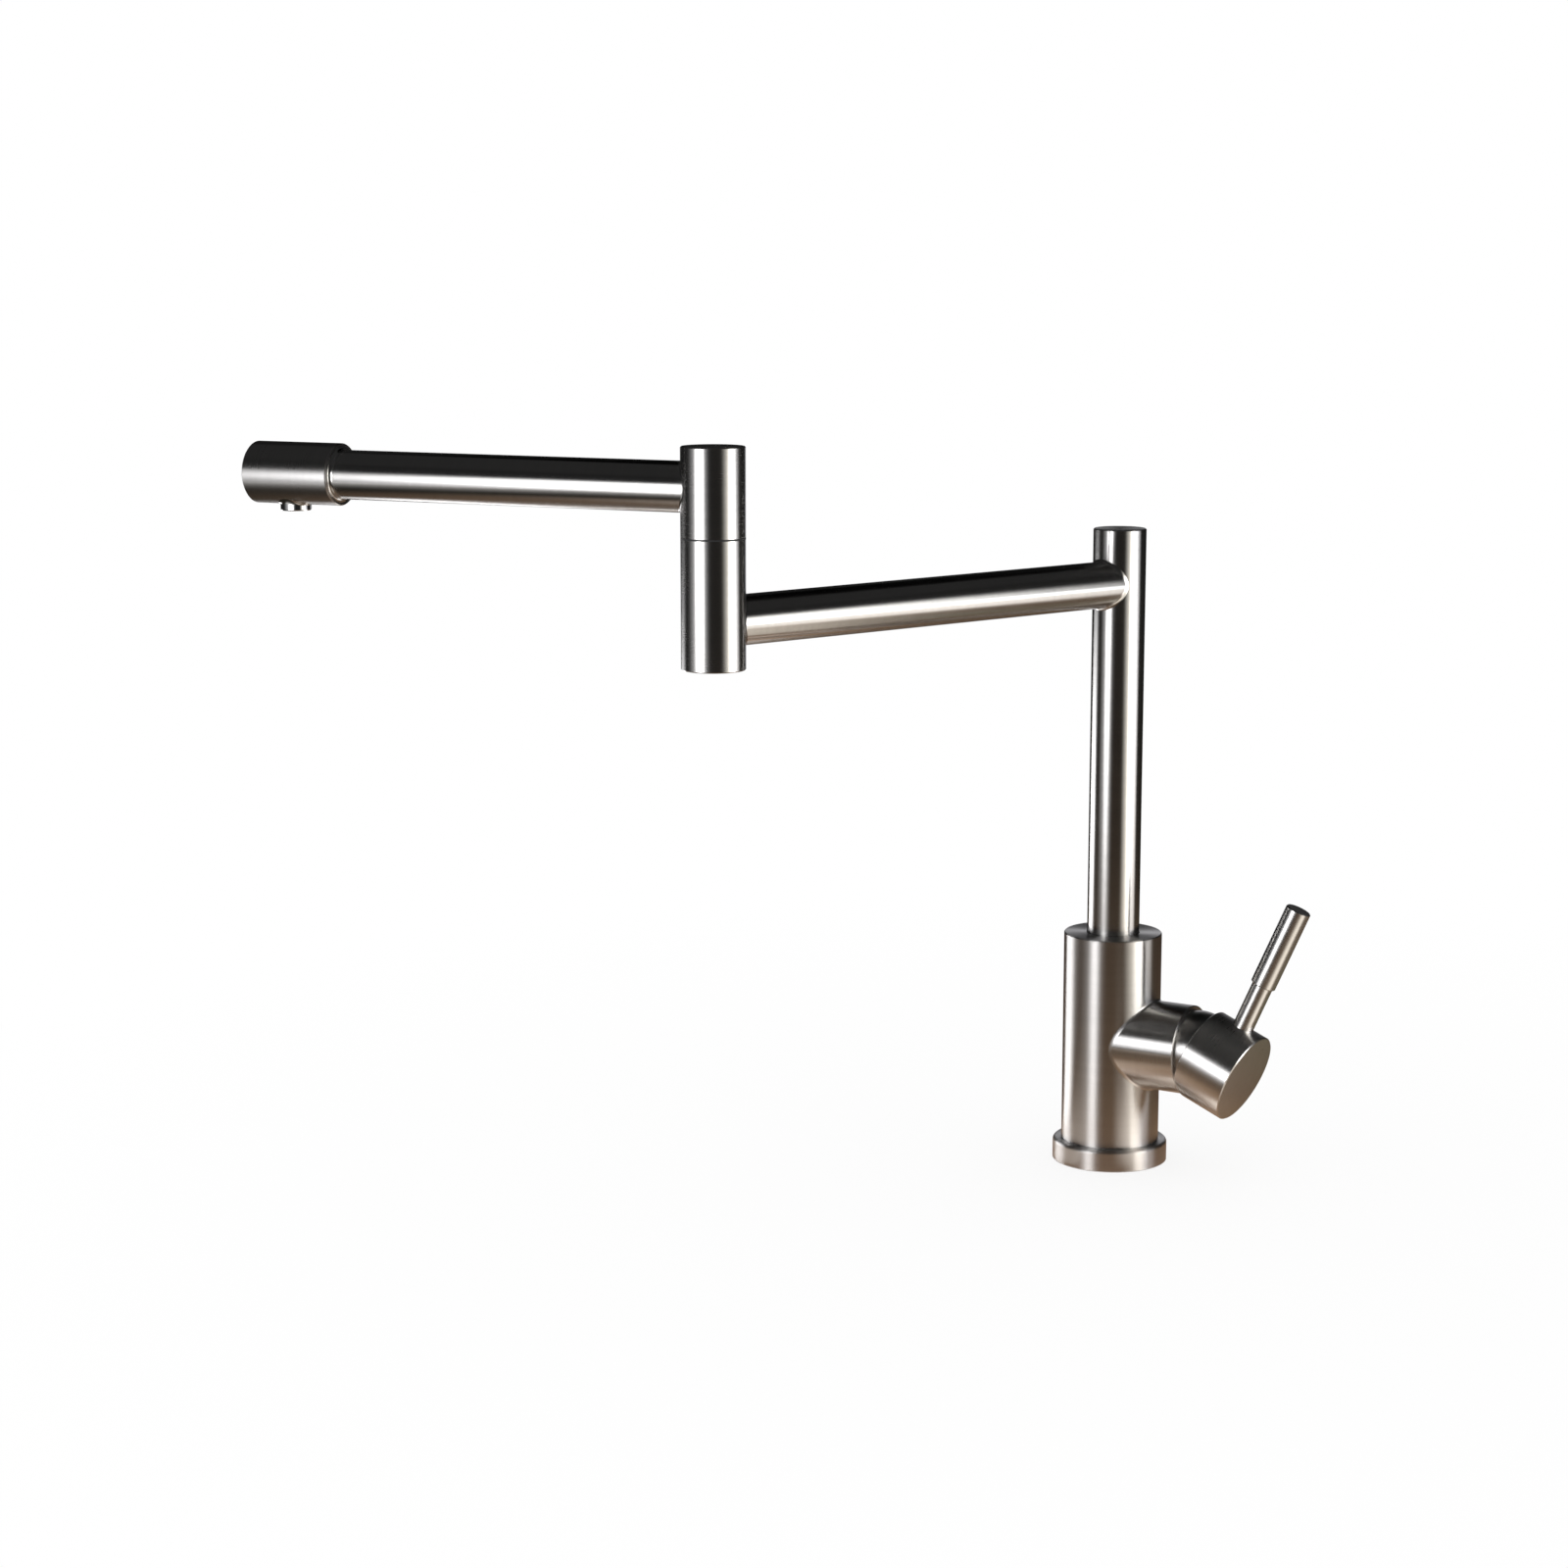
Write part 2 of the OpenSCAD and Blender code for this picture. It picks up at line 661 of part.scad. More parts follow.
module riser_foot() {
    color(brass) difference() {
        union() {
            translate([0, 0, foot_z]) rod(riser_d, foot_h);
            translate([0, 0, tube_z - past])
                cylinder(d = riser_bore - 2 * fit, h = foot_spigot + past);
        }
        translate([0, 0, foot_z - past]) cylinder(d = foot_bore, h = foot_h + foot_spigot + 2 * past);
        for (z = [ring1_z, ring2_z])
            translate([0, 0, z - ring_groove_h / 2])
                ring(riser_d + past, ring_mid_d - ring_sec - 2 * fit, ring_groove_h);
        translate([0, 0, lower_bush_z - fit])
            ring(riser_d + past, riser_d - 2 * bush_groove, bush_h + 2 * fit);
        translate([0, 0, keep_z - keep_groove_h / 2])
            ring(riser_d + past, 2 * keep_groove_r, keep_groove_h);
    }
}

module riser_seals() {
    color(rubber) for (z = [ring1_z, ring2_z])
        translate([0, 0, z]) o_ring(ring_mid_d, ring_sec);
}

module lower_bush() {
    color(acetal) translate([0, 0, lower_bush_z])
        ring(socket_d - 2 * run, riser_d - 2 * bush_groove + 2 * fit, bush_h);
}

module riser_tube() {
    color(steel) difference() {
        translate([0, 0, tube_z]) ring(riser_d, riser_bore, riser_top - riser_cap_t - tube_z);
        at_arm1() along_x(0, 0, arm1_z) cylinder(d = arm_port_d, h = riser_d);
    }
}

module riser_cap() {
    color(steel) translate([0, 0, riser_top - riser_cap_t]) {
        rotate_extrude()
            polygon([[0, 0], [riser_r, 0], [riser_r, riser_cap_t - edge],
                [riser_r - edge, riser_cap_t], [0, riser_cap_t]]);
        translate([0, 0, -riser_cap_plug])
            cylinder(d = riser_bore - 2 * fit, h = riser_cap_plug + edge);
    }
}

module lower_arm() {
    color(steel) difference() {
        at_arm1() along_x(0, 0, arm1_z) ring(arm_d, arm_bore, arm1_len);
        translate([0, 0, arm1_z - arm_d]) cylinder(d = riser_d + 2 * fit, h = 2 * arm_d);
        at_elbow() translate([0, 0, arm1_z - arm_d]) cylinder(d = knuckle_d + 2 * fit, h = 2 * arm_d);
    }
}

module lower_knuckle() {
    color(steel) difference() {
        at_elbow() translate([0, 0, knuckle_z])
            rod(knuckle_d, seam_z - knuckle_z - seam / 2, edge, seam_edge);
        at_elbow() translate([0, 0, knuckle_z - past])
            cylinder(d = knuckle_bore, h = seam_z - knuckle_z + 2 * past);
        at_arm1() along_x(arm1_len - knuckle_d, 0, arm1_z) cylinder(d = arm_port_d, h = knuckle_d);
    }
}

module knuckle_base_plug() {
    color(steel) at_elbow() translate([0, 0, knuckle_z])
        cylinder(d = knuckle_bore - 2 * fit, h = plug_t);
}

module elbow_spindle() {
    top = seam_z - seam / 2;
    color(brass) at_elbow() difference() {
        union() {
            translate([0, 0, top - spindle_foot])
                cylinder(d = knuckle_bore - 2 * fit, h = spindle_foot);
            translate([0, 0, top - edge]) cylinder(d = spindle_d, h = clip_z + spindle_end - top + edge);
        }
        translate([0, 0, top - spindle_foot - past])
            cylinder(d = spindle_bore, h = neck_z - top + spindle_foot);
        for (angle = [0, 90])
            rotate([0, 0, angle + arm2_dir - arm1_dir]) along_x(-spindle_d, 0, arm2_z)
                cylinder(d = window_d, h = 2 * spindle_d);
        for (z = elbow_ring_z)
            translate([0, 0, z - elbow_ring_sec / 2 - run])
                ring(spindle_d + past, elbow_ring_mid_d - elbow_ring_sec - 2 * fit,
                    elbow_ring_sec + 2 * run);
        translate([0, 0, clip_z + clip_washer_t + fit])
            ring(spindle_d + past, clip_groove_d, clip_t + 2 * fit);
    }
}

module elbow_seals() {
    color(rubber) at_elbow() for (z = elbow_ring_z)
        translate([0, 0, z]) o_ring(elbow_ring_mid_d, elbow_ring_sec);
}

module elbow_washer() {
    color(acetal) at_elbow() translate([0, 0, seam_z - seam / 2])
        ring(knuckle_d - 2 * seam_back, spindle_d + 2 * run, seam);
}

module clip_washer() {
    color(bright) at_elbow() translate([0, 0, clip_z + fit])
        ring(knuckle_bore - 2 * free, spindle_d + 2 * run, clip_washer_t);
}

// The circlip, open on one side.
module elbow_clip() {
    color(bright) at_elbow() translate([0, 0, clip_z + clip_washer_t + 2 * fit]) difference() {
        ring(spindle_d + 2 * clip_out, clip_groove_d + 2 * fit, clip_t);
        translate([0, -clip_open / 2, -past]) cube([spindle_d, clip_open, clip_t + 2 * past]);
    }
}

module upper_knuckle() {
    bottom = seam_z + seam / 2;
    color(steel) difference() {
        at_elbow() translate([0, 0, bottom])
            rod(knuckle_d, knuckle_end - bottom, seam_edge, edge);
        at_elbow() translate([0, 0, bottom - past])
            cylinder(d = spindle_d + 2 * run, h = knuckle_end - bottom + 2 * past);
        at_elbow() translate([0, 0, neck_z - chamber_h]) cylinder(d = knuckle_bore, h = chamber_h);
        at_elbow() translate([0, 0, clip_z]) cylinder(d = knuckle_bore, h = knuckle_end);
        at_arm2() along_x(0, 0, arm2_z) cylinder(d = arm_port_d, h = knuckle_d);
    }
}

module knuckle_top_plug() {
    color(steel) at_elbow() translate([0, 0, knuckle_end - plug_t])
        cylinder(d = knuckle_bore - 2 * fit, h = plug_t);
}

module upper_arm() {
    color(steel) difference() {
        at_arm2() along_x(0, 0, arm2_z) ring(arm_d, arm_bore, arm2_len + head_socket);
        at_elbow() translate([0, 0, arm2_z - arm_d]) cylinder(d = knuckle_d + 2 * fit, h = 2 * arm_d);
    }
}

module outlet_head() {
    color(steel) at_arm2() difference() {
        along_x(arm2_len, 0, arm2_z) rod(head_d, head_len);
        along_x(arm2_len - past, 0, arm2_z)
            cylinder(d = arm_d + 2 * fit, h = head_socket + past);
        along_x(arm2_len, 0, arm2_z) cylinder(d = head_bore, h = head_len);
        along_x(arm2_len + head_len - head_plug_t, 0, arm2_z)
            cylinder(d = head_plug_d, h = head_plug_t + past);
        translate([arm2_len + outlet_x, 0, arm2_z - head_d])
            cylinder(d = outlet_d + 2 * fit, h = head_d - outlet_seat);
        translate([arm2_len + outlet_x, 0, arm2_z - head_d]) cylinder(d = outlet_way_d, h = head_d);
    }
}

module head_plug() {
    color(steel) at_arm2() along_x(arm2_len + head_len - head_plug_t, 0, arm2_z)
        cylinder(d = head_plug_d - 2 * fit, h = head_plug_t);
}

// The outlet's frame, on the head's underside, with Z up.
module at_outlet(z) {
    at_arm2() translate([arm2_len + outlet_x, 0, arm2_z + z]) children();
}

module aerator_housing() {
    color(bright) at_outlet(-outlet_top - aerator_h) difference() {
        rod(outlet_d, aerator_h);
        translate([0, 0, -past]) cylinder(d = insert_d - 2 * aerator_lip_w, h = aerator_h);
        translate([0, 0, aerator_lip]) cylinder(d = insert_d + 2 * fit, h = aerator_h);
    }
}

// The insert: a disc with a ring of drilled jets round one in the middle.
module aerator_insert() {
    color(acetal) at_outlet(-outlet_top - aerator_h + aerator_lip) difference() {
        cylinder(d = insert_d, h = aerator_h - aerator_lip);
        for (jet = [1:jets])
            rotate([0, 0, jet * 360 / jets]) translate([jet_circle_r, 0, -past])
                cylinder(d = jet_d, h = aerator_h + past);
        translate([0, 0, -past]) cylinder(d = jet_d, h = aerator_h + past);
    }
}

module aerator_seal() {
    color(rubber) at_outlet(-outlet_top) ring(outlet_d - 2 * fit, outlet_way_d, aerator_seal_t);
}

module cartridge_base() {
    color(acetal) difference() {
        union() {
            at_boss() along_x(base_x) cylinder(d = cart_d, h = cart_base_t);
            at_pegs(base_x - peg_len) cylinder(d = peg_d, h = peg_len + edge);
        }
        at_cartridge_ports(base_x - past) cylinder(d = way_d, h = cart_base_t + 2 * past);
        at_cartridge_ports(base_x - past)
            ring(port_seal_mid_d + port_seal_sec + 2 * run, way_d - fit,
                port_seal_sec - cart_gap + fit + past);
    }
}

module port_seals() {
    color(rubber) at_cartridge_ports(cart_floor + port_seal_sec / 2)
        o_ring(port_seal_mid_d, port_seal_sec);
}

module fixed_disc() {
    color(ceramic) difference() {
        at_boss() along_x(disc1_x) cylinder(d = fixed_disc_d, h = disc_t);
        at_cartridge_ports(disc1_x - past) cylinder(d = way_d, h = disc_t + 2 * past);
    }
}

module cartridge_housing() {
    color(acetal) at_boss() difference() {
        union() {
            along_x(disc1_x) cylinder(d = cart_d, h = nut_x - disc1_x);
            along_x(disc1_x) cylinder(d = nut_bore - 2 * fit, h = nose_end - disc1_x);
        }
        along_x(disc1_x - past) cylinder(d = housing_bore, h = ledge_x - disc1_x + past);
        along_x(disc1_x) cylinder(d = guide_d + 2 * run, h = boss_len);
    }
}

// The nut: a threaded ring with four key slots, and the nose that carries the bonnet.
module cartridge_nut() {
    color(brass) at_boss() difference() {
        union() {
            along_x(nut_x) cylinder(d = nut_d, h = boss_len - nut_x);
            along_x(boss_len - edge) cylinder(d = nut_nose_d, h = nut_nose + edge);
        }
        along_x(nut_x - past) cylinder(d = nut_bore, h = boss_len - nut_x + nut_nose + 2 * past);
        for (slot = [0:3])
            rotate([45 + slot * 90, 0, 0])
                translate([boss_len - key_slot_depth, nut_d / 2 - key_slot_depth, -key_slot_w / 2])
                    cube([key_slot_depth + past, key_slot_depth + past, key_slot_w]);
    }
}

// The bonnet: a zone of a ball about the tilt pivot, between the boss and the cap.
module bonnet() {
    color(steel) difference() {
        at_pivot() sphere(r = dome_r);
        at_boss() along_x(0) cylinder(r = 2 * dome_r, h = boss_len);
        at_boss() along_x(pivot_x + dome_front) cylinder(r = 2 * dome_r, h = dome_r);
        at_boss() along_x(0) cylinder(d = dome_bore, h = pivot_x + dome_r + past);
    }
}

// The guide turns with the handle. Its two cheeks carry the pivot pin.
module spindle_guide() {
    cheek = square_w / 2 + cheek_play;
    slot = 2 * ball_shift + ball_d + 2 * free;
    flange_x = guide_x - pivot_x;
    color(acetal) at_turn() difference() {
        union() {
            along_x(flange_x) cylinder(d = guide_flange_d, h = guide_flange_t);
            along_x(flange_x) cylinder(d = guide_d, h = guide_end - flange_x);
        }
        translate([flange_x - past, -cheek, -slot / 2])
            cube([guide_flange_t + 2 * past, 2 * cheek, slot]);
        translate([flange_x + guide_flange_t, -cheek, -guide_d])
            cube([dome_r - flange_x, 2 * cheek, 2 * guide_d]);
        translate([0, guide_d, 0]) rotate([90, 0, 0]) cylinder(d = pin_d + 2 * fit, h = 2 * guide_d);
    }
}

module spindle_pin() {
    color(bright) at_turn() translate([0, guide_d / 2 - pin_back, 0]) rotate([90, 0, 0])
        cylinder(d = pin_d, h = guide_d - 2 * pin_back);
}

// The moving disc, with the mixing hollow that joins the ports it covers.
module moving_disc() {
    color(ceramic) at_turn() translate([0, 0, disc_shift]) difference() {
        along_x(disc2_x - pivot_x) cylinder(d = moving_disc_d, h = disc_t);
        along_x(disc2_x - pivot_x - past) cylinder(d = mix_d, h = mix_depth + past);
    }
}

module disc_slider() {
    color(acetal) at_turn() difference() {
        along_x(slider_x - pivot_x, 0, disc_shift) cylinder(d = slider_d, h = slider_t);
        along_x(slider_x - pivot_x + free, 0, ball_shift)
            cylinder(d = ball_d + 2 * free, h = slider_t);
    }
}

module valve_spindle() {
    color(bright) at_handle() difference() {
        union() {
            translate([-square_in, -square_w / 2, -square_w / 2])
                cube([spindle_out + square_in, square_w, square_w]);
            along_x(-ball_arm) cylinder(d = ball_neck_d, h = ball_arm);
            translate([-ball_arm, 0, 0]) sphere(d = ball_d);
        }
        translate([0, square_w, 0]) rotate([90, 0, 0])
            cylinder(d = pin_d + 2 * run, h = 2 * square_w);
    }
}

module handle_cap() {
    color(steel) at_handle() difference() {
        along_x(cap_back) rod(cap_d, cap_front - cap_back);
        // Hollow round the dome, with a hub left for the spindle.
        difference() {
            sphere(d = cap_bore);
            along_x(hub_x) cylinder(d = hub_d, h = cap_bore);
        }
        translate([hub_x - past, -square_w / 2 - fit, -square_w / 2 - fit])
            cube([spindle_out - hub_x + past + free, square_w + 2 * fit, square_w + 2 * fit]);
        // Where the tilted skirt would meet the boss.
        rotate([0, -tilt_rest, 0]) translate([-cap_d - pivot_out + cap_gap, -cap_d, -cap_d])
            cube([cap_d, 2 * cap_d, 2 * cap_d]);
        // Lever's thread and seat, and the grub screw's thread.
        translate([lever_out, 0, hub_d / 2 + past])
            cylinder(d = lever_thread_d + 2 * fit, h = cap_d);
        translate([lever_out, 0, lever_seat]) cylinder(d = lever_d + 4 * fit, h = cap_d);
        translate([grub_x, 0, -cap_d]) cylinder(d = grub_d + 2 * fit, h = cap_d);
    }
}

module lever_rod() {
    inner = sqrt(pow(cap_bore / 2, 2) - pow(lever_out - lever_thread_d / 2, 2)) + room;
    color(bright) at_handle() translate([lever_out, 0, 0]) {
        translate([0, 0, inner]) cylinder(d = lever_thread_d, h = lever_seat - inner + past);
        translate([0, 0, lever_seat]) cylinder(d = lever_d, h = grip_from - lever_seat);
        translate([0, 0, grip_from - past]) cylinder(d = grip_spigot_d, h = grip_spigot + past);
    }
}

module lever_grip() {
    color(bright) at_handle() translate([lever_out, 0, grip_from]) difference() {
        rod(grip_d, lever_tip - grip_from);
        translate([0, 0, -past]) cylinder(d = grip_spigot_d + 2 * fit, h = grip_spigot + past + free);
    }
}

module handle_grub() {
    color(bright) at_handle() translate([grub_x, 0, -square_w / 2 - fit - grub_len]) difference() {
        cylinder(d = grub_d, h = grub_len);
        hex_socket(grub_key_d, grub_key_depth);
    }
}

base_flange();
deck_gasket();
body_casting();
inlet_block();
way_seals();
block_screws();
foot_washer();
top_bush();
riser_screw();
riser_foot();
riser_seals();
lower_bush();
riser_tube();
riser_cap();
lower_arm();
lower_knuckle();
knuckle_base_plug();
elbow_spindle();
elbow_seals();
elbow_washer();
clip_washer();
elbow_clip();
upper_knuckle();
knuckle_top_plug();
upper_arm();
outlet_head();
head_plug();
aerator_housing();
aerator_insert();
aerator_seal();
cartridge_base();
port_seals();
fixed_disc();
cartridge_housing();
cartridge_nut();
bonnet();
spindle_guide();
spindle_pin();
moving_disc();
disc_slider();
valve_spindle();
handle_cap();
lever_rod();
lever_grip();
handle_grub();
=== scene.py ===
import bmesh
import bpy
import json
from math import cos, pi, radians, sin, sqrt
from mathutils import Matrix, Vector


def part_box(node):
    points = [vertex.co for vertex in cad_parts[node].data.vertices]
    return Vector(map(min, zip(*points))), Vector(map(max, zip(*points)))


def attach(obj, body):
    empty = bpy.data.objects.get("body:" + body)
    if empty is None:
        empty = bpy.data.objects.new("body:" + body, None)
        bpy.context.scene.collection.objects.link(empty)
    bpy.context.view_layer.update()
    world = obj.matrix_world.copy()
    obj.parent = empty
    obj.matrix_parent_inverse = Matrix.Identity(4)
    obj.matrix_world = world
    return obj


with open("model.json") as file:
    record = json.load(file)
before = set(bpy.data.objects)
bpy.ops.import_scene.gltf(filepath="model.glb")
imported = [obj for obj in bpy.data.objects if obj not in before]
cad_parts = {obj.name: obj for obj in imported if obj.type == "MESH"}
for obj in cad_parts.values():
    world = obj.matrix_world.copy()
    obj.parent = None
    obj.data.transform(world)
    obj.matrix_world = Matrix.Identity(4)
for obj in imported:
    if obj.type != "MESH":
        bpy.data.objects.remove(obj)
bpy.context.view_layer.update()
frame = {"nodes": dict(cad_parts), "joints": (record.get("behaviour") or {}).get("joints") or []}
node = frame["nodes"]


# The deck gasket is a flat ring of black nitrile rubber, moulded and then trimmed. It lies
# in a recess under the flange and seals the hole in the deck.
def bare_material(name):
    """A material with an empty node tree."""
    material = bpy.data.materials.new(name)
    material.use_nodes = True
    material.node_tree.nodes.clear()
    return material, material.node_tree


def new_material(name):
    material, tree = bare_material(name)
    shader = tree.nodes.new("ShaderNodeBsdfPrincipled")
    output = tree.nodes.new("ShaderNodeOutputMaterial")
    tree.links.new(shader.outputs["BSDF"], output.inputs["Surface"])
    return material, shader


def add_node(tree, kind, inputs=None, **settings):
    """Adds a node, sets its properties, and sets or links its inputs."""
    made = tree.nodes.new(kind)
    for key, value in settings.items():
        setattr(made, key, value)
    for key, value in (inputs or {}).items():
        if isinstance(value, bpy.types.NodeSocket):
            tree.links.new(value, made.inputs[key])
        else:
            made.inputs[key].default_value = value
    return made


def new_group(name, inputs, outputs):
    """Starts a shader node group. Inputs hold (name, kind, default) and outputs (name, kind)."""
    tree = bpy.data.node_groups.new(name, "ShaderNodeTree")
    for socket, kind, default in inputs:
        made = tree.interface.new_socket(socket, in_out="INPUT", socket_type="NodeSocket" + kind)
        made.default_value = default
    for socket, kind in outputs:
        tree.interface.new_socket(socket, in_out="OUTPUT", socket_type="NodeSocket" + kind)
    start = tree.nodes.new("NodeGroupInput")
    end = tree.nodes.new("NodeGroupOutput")
    return tree, start.outputs, end.inputs


def build_mottle():
    """Cloudy variation at two scales, as on moulded and cast surfaces."""
    tree, given, result = new_group(
        "mottle", [("Cloud Size", "Float", 0.004), ("Speck Size", "Float", 0.0003)],
        [("Cloud", "Float"), ("Speck", "Float")])
    place = add_node(tree, "ShaderNodeTexCoord").outputs["Object"]
    for size, detail, target in (("Cloud Size", 2.0, "Cloud"), ("Speck Size", 4.0, "Speck")):
        scale = add_node(tree, "ShaderNodeMath", {0: 1.0, 1: given[size]}, operation="DIVIDE")
        noise = add_node(tree, "ShaderNodeTexNoise",
                         {"Vector": place, "Scale": scale.outputs[0], "Detail": detail})
        tree.links.new(noise.outputs["Fac"], result[target])
    return tree


MOTTLE = build_mottle()


def blend_colours(tree, factor, dark, light):
    mixed = add_node(tree, "ShaderNodeMix", {"Factor": factor}, data_type="RGBA")
    mixed.inputs["A"].default_value = (*dark, 1)
    mixed.inputs["B"].default_value = (*light, 1)
    return mixed.outputs["Result"]


def spread(tree, value, low, high):
    """Maps a value from 0..1 to low..high."""
    return add_node(tree, "ShaderNodeMapRange",
                    {"Value": value, "To Min": low, "To Max": high}).outputs["Result"]


def moulded(name, dark, light, rough, depth, cloud=0.004, speck=0.0003):
    """A moulded plastic, rubber or ceramic: cloudy colour and a fine skin."""
    material, shader = new_material(name)
    tree = material.node_tree
    mottle = add_node(tree, "ShaderNodeGroup", node_tree=MOTTLE)
    mottle.inputs["Cloud Size"].default_value = cloud
    mottle.inputs["Speck Size"].default_value = speck
    colour = blend_colours(tree, mottle.outputs["Cloud"], dark, light)
    tree.links.new(colour, shader.inputs["Base Color"])
    roughness = spread(tree, mottle.outputs["Speck"], *rough)
    tree.links.new(roughness, shader.inputs["Roughness"])
    bump = add_node(tree, "ShaderNodeBump",
                    {"Height": mottle.outputs["Speck"], "Distance": depth, "Strength": 0.5})
    tree.links.new(bump.outputs["Normal"], shader.inputs["Normal"])
    return material


def dress(material, *names):
    """Gives CAD nodes a finish."""
    for name in names:
        slots = node[name].material_slots
        for slot in slots:
            slot.material = material
        if not slots:
            node[name].data.materials.append(material)


seal_rubber = moulded("seal_rubber", dark=(0.012, 0.012, 0.013), light=(0.03, 0.03, 0.03),
                      rough=(0.45, 0.7), depth=0.00004)
dress(seal_rubber, "deck_gasket")


# The flange is turned from stainless bar. It is brushed round its axis, with a rounded top
# edge, and the body's spigot drops into it.
def choose(tree, mask, first, then, kind):
    """The first value where the mask is 0, and the second where it is 1."""
    made = add_node(tree, "ShaderNodeMix", {"Factor": mask}, data_type=kind)
    ends = [s for s in made.inputs if s.enabled and s.name in ("A", "B")]
    for end, value in zip(ends, (first, then)):
        if isinstance(value, bpy.types.NodeSocket):
            tree.links.new(value, end)
        else:
            end.default_value = value
    return next(s for s in made.outputs if s.enabled)


# How nearly a surface must face along the axis to count as a flat end, and how far one brush
# line runs on it.
FLAT_END = 0.9
FACE_LINE = 0.006


def build_turned_grain():
    """Brush lines that run round an axis. Where Face Across is set, they run straight on the
    flat ends instead, and it points across them."""
    tree, given, result = new_group(
        "turned_grain",
        [("Centre", "Vector", (0, 0, 0)), ("Axis", "Vector", (0, 0, 1)),
         ("Face Across", "Vector", (0, 0, 0)), ("Line Width", "Float", 0.0003),
         ("Line Length", "Float", 4.0)],
        [("Lines", "Float"), ("Bands", "Float"), ("Smudge", "Float")])
    place = add_node(tree, "ShaderNodeTexCoord").outputs["Object"]

    def vector(operation, first, second=None):
        inputs = {0: first} if second is None else {0: first, 1: second}
        return add_node(tree, "ShaderNodeVectorMath", inputs, operation=operation)

    def number(operation, first, second):
        return add_node(tree, "ShaderNodeMath", {0: first, 1: second},
                        operation=operation).outputs[0]

    def scaled(value, factor):
        made = vector("SCALE", value)
        tree.links.new(factor, made.inputs["Scale"])
        return made.outputs["Vector"]

    offset = vector("SUBTRACT", place, given["Centre"]).outputs["Vector"]
    along = vector("DOT_PRODUCT", offset, given["Axis"]).outputs["Value"]
    shadow = vector("SUBTRACT", offset, scaled(given["Axis"], along)).outputs["Vector"]
    radius = vector("LENGTH", shadow).outputs["Value"]
    round_part = vector("NORMALIZE", shadow).outputs["Vector"]
    outward = add_node(tree, "ShaderNodeTexCoord").outputs["Normal"]
    facing = number("ABSOLUTE", vector("DOT_PRODUCT", outward, given["Axis"]).outputs["Value"], 0)
    straight = vector("LENGTH", given["Face Across"]).outputs["Value"]
    flat = number("GREATER_THAN", number("MULTIPLY", facing, straight), FLAT_END)
    across_face = vector("DOT_PRODUCT", offset, given["Face Across"]).outputs["Value"]
    way = vector("CROSS_PRODUCT", given["Axis"], given["Face Across"]).outputs["Vector"]
    along_face = vector("DOT_PRODUCT", offset, way).outputs["Value"]
    stretched = number("DIVIDE", along_face, FACE_LINE)
    run = number("DIVIDE", choose(tree, flat, number("ADD", along, radius), across_face, "FLOAT"),
                 given["Line Width"])
    for target, across_share, length_share in (("Lines", 1.0, 1.0), ("Bands", 0.08, 0.5)):
        turned = scaled(round_part, number("MULTIPLY", given["Line Length"], length_share))
        lengthwise = choose(tree, flat, turned, scaled(way, stretched), "VECTOR")
        across = scaled(given["Axis"], number("MULTIPLY", run, across_share))
        spot = vector("ADD", lengthwise, across).outputs["Vector"]
        noise = add_node(tree, "ShaderNodeTexNoise", {"Vector": spot, "Scale": 1.0, "Detail": 2.0})
        tree.links.new(noise.outputs["Fac"], result[target])
    smudge = add_node(tree, "ShaderNodeTexNoise",
                      {"Vector": place, "Scale": 60.0, "Detail": 3.0, "Distortion": 0.6})
    tree.links.new(smudge.outputs["Fac"], result["Smudge"])
    return tree


TURNED_GRAIN = build_turned_grain()


def build_edge_burnish_and_highlight():
    """A mask that is white along edges, for their burnish and for a painted highlight on them."""
    tree, given, result = new_group(
        "edge_burnish_and_highlight", [("Width", "Float", 0.0006)], [("Mask", "Float")])
    rounded = add_node(tree, "ShaderNodeBevel", {"Radius": given["Width"]}, samples=4)
    plain = add_node(tree, "ShaderNodeNewGeometry")
    agree = add_node(tree, "ShaderNodeVectorMath",
                     {0: rounded.outputs["Normal"], 1: plain.outputs["Normal"]},
                     operation="DOT_PRODUCT")
    # The rounded and the plain normal agree on a flat surface, and part where an edge is near.
    mask = add_node(tree, "ShaderNodeMapRange",
                    {"Value": agree.outputs["Value"], "From Min": 0.995, "From Max": 0.93})
    tree.links.new(mask.outputs["Result"], result["Mask"])
    return tree


EDGE_BURNISH_AND_HIGHLIGHT = build_edge_burnish_and_highlight()
BRUSHED = (0.60, 0.59, 0.58)
SATIN = (0.68, 0.67, 0.66)


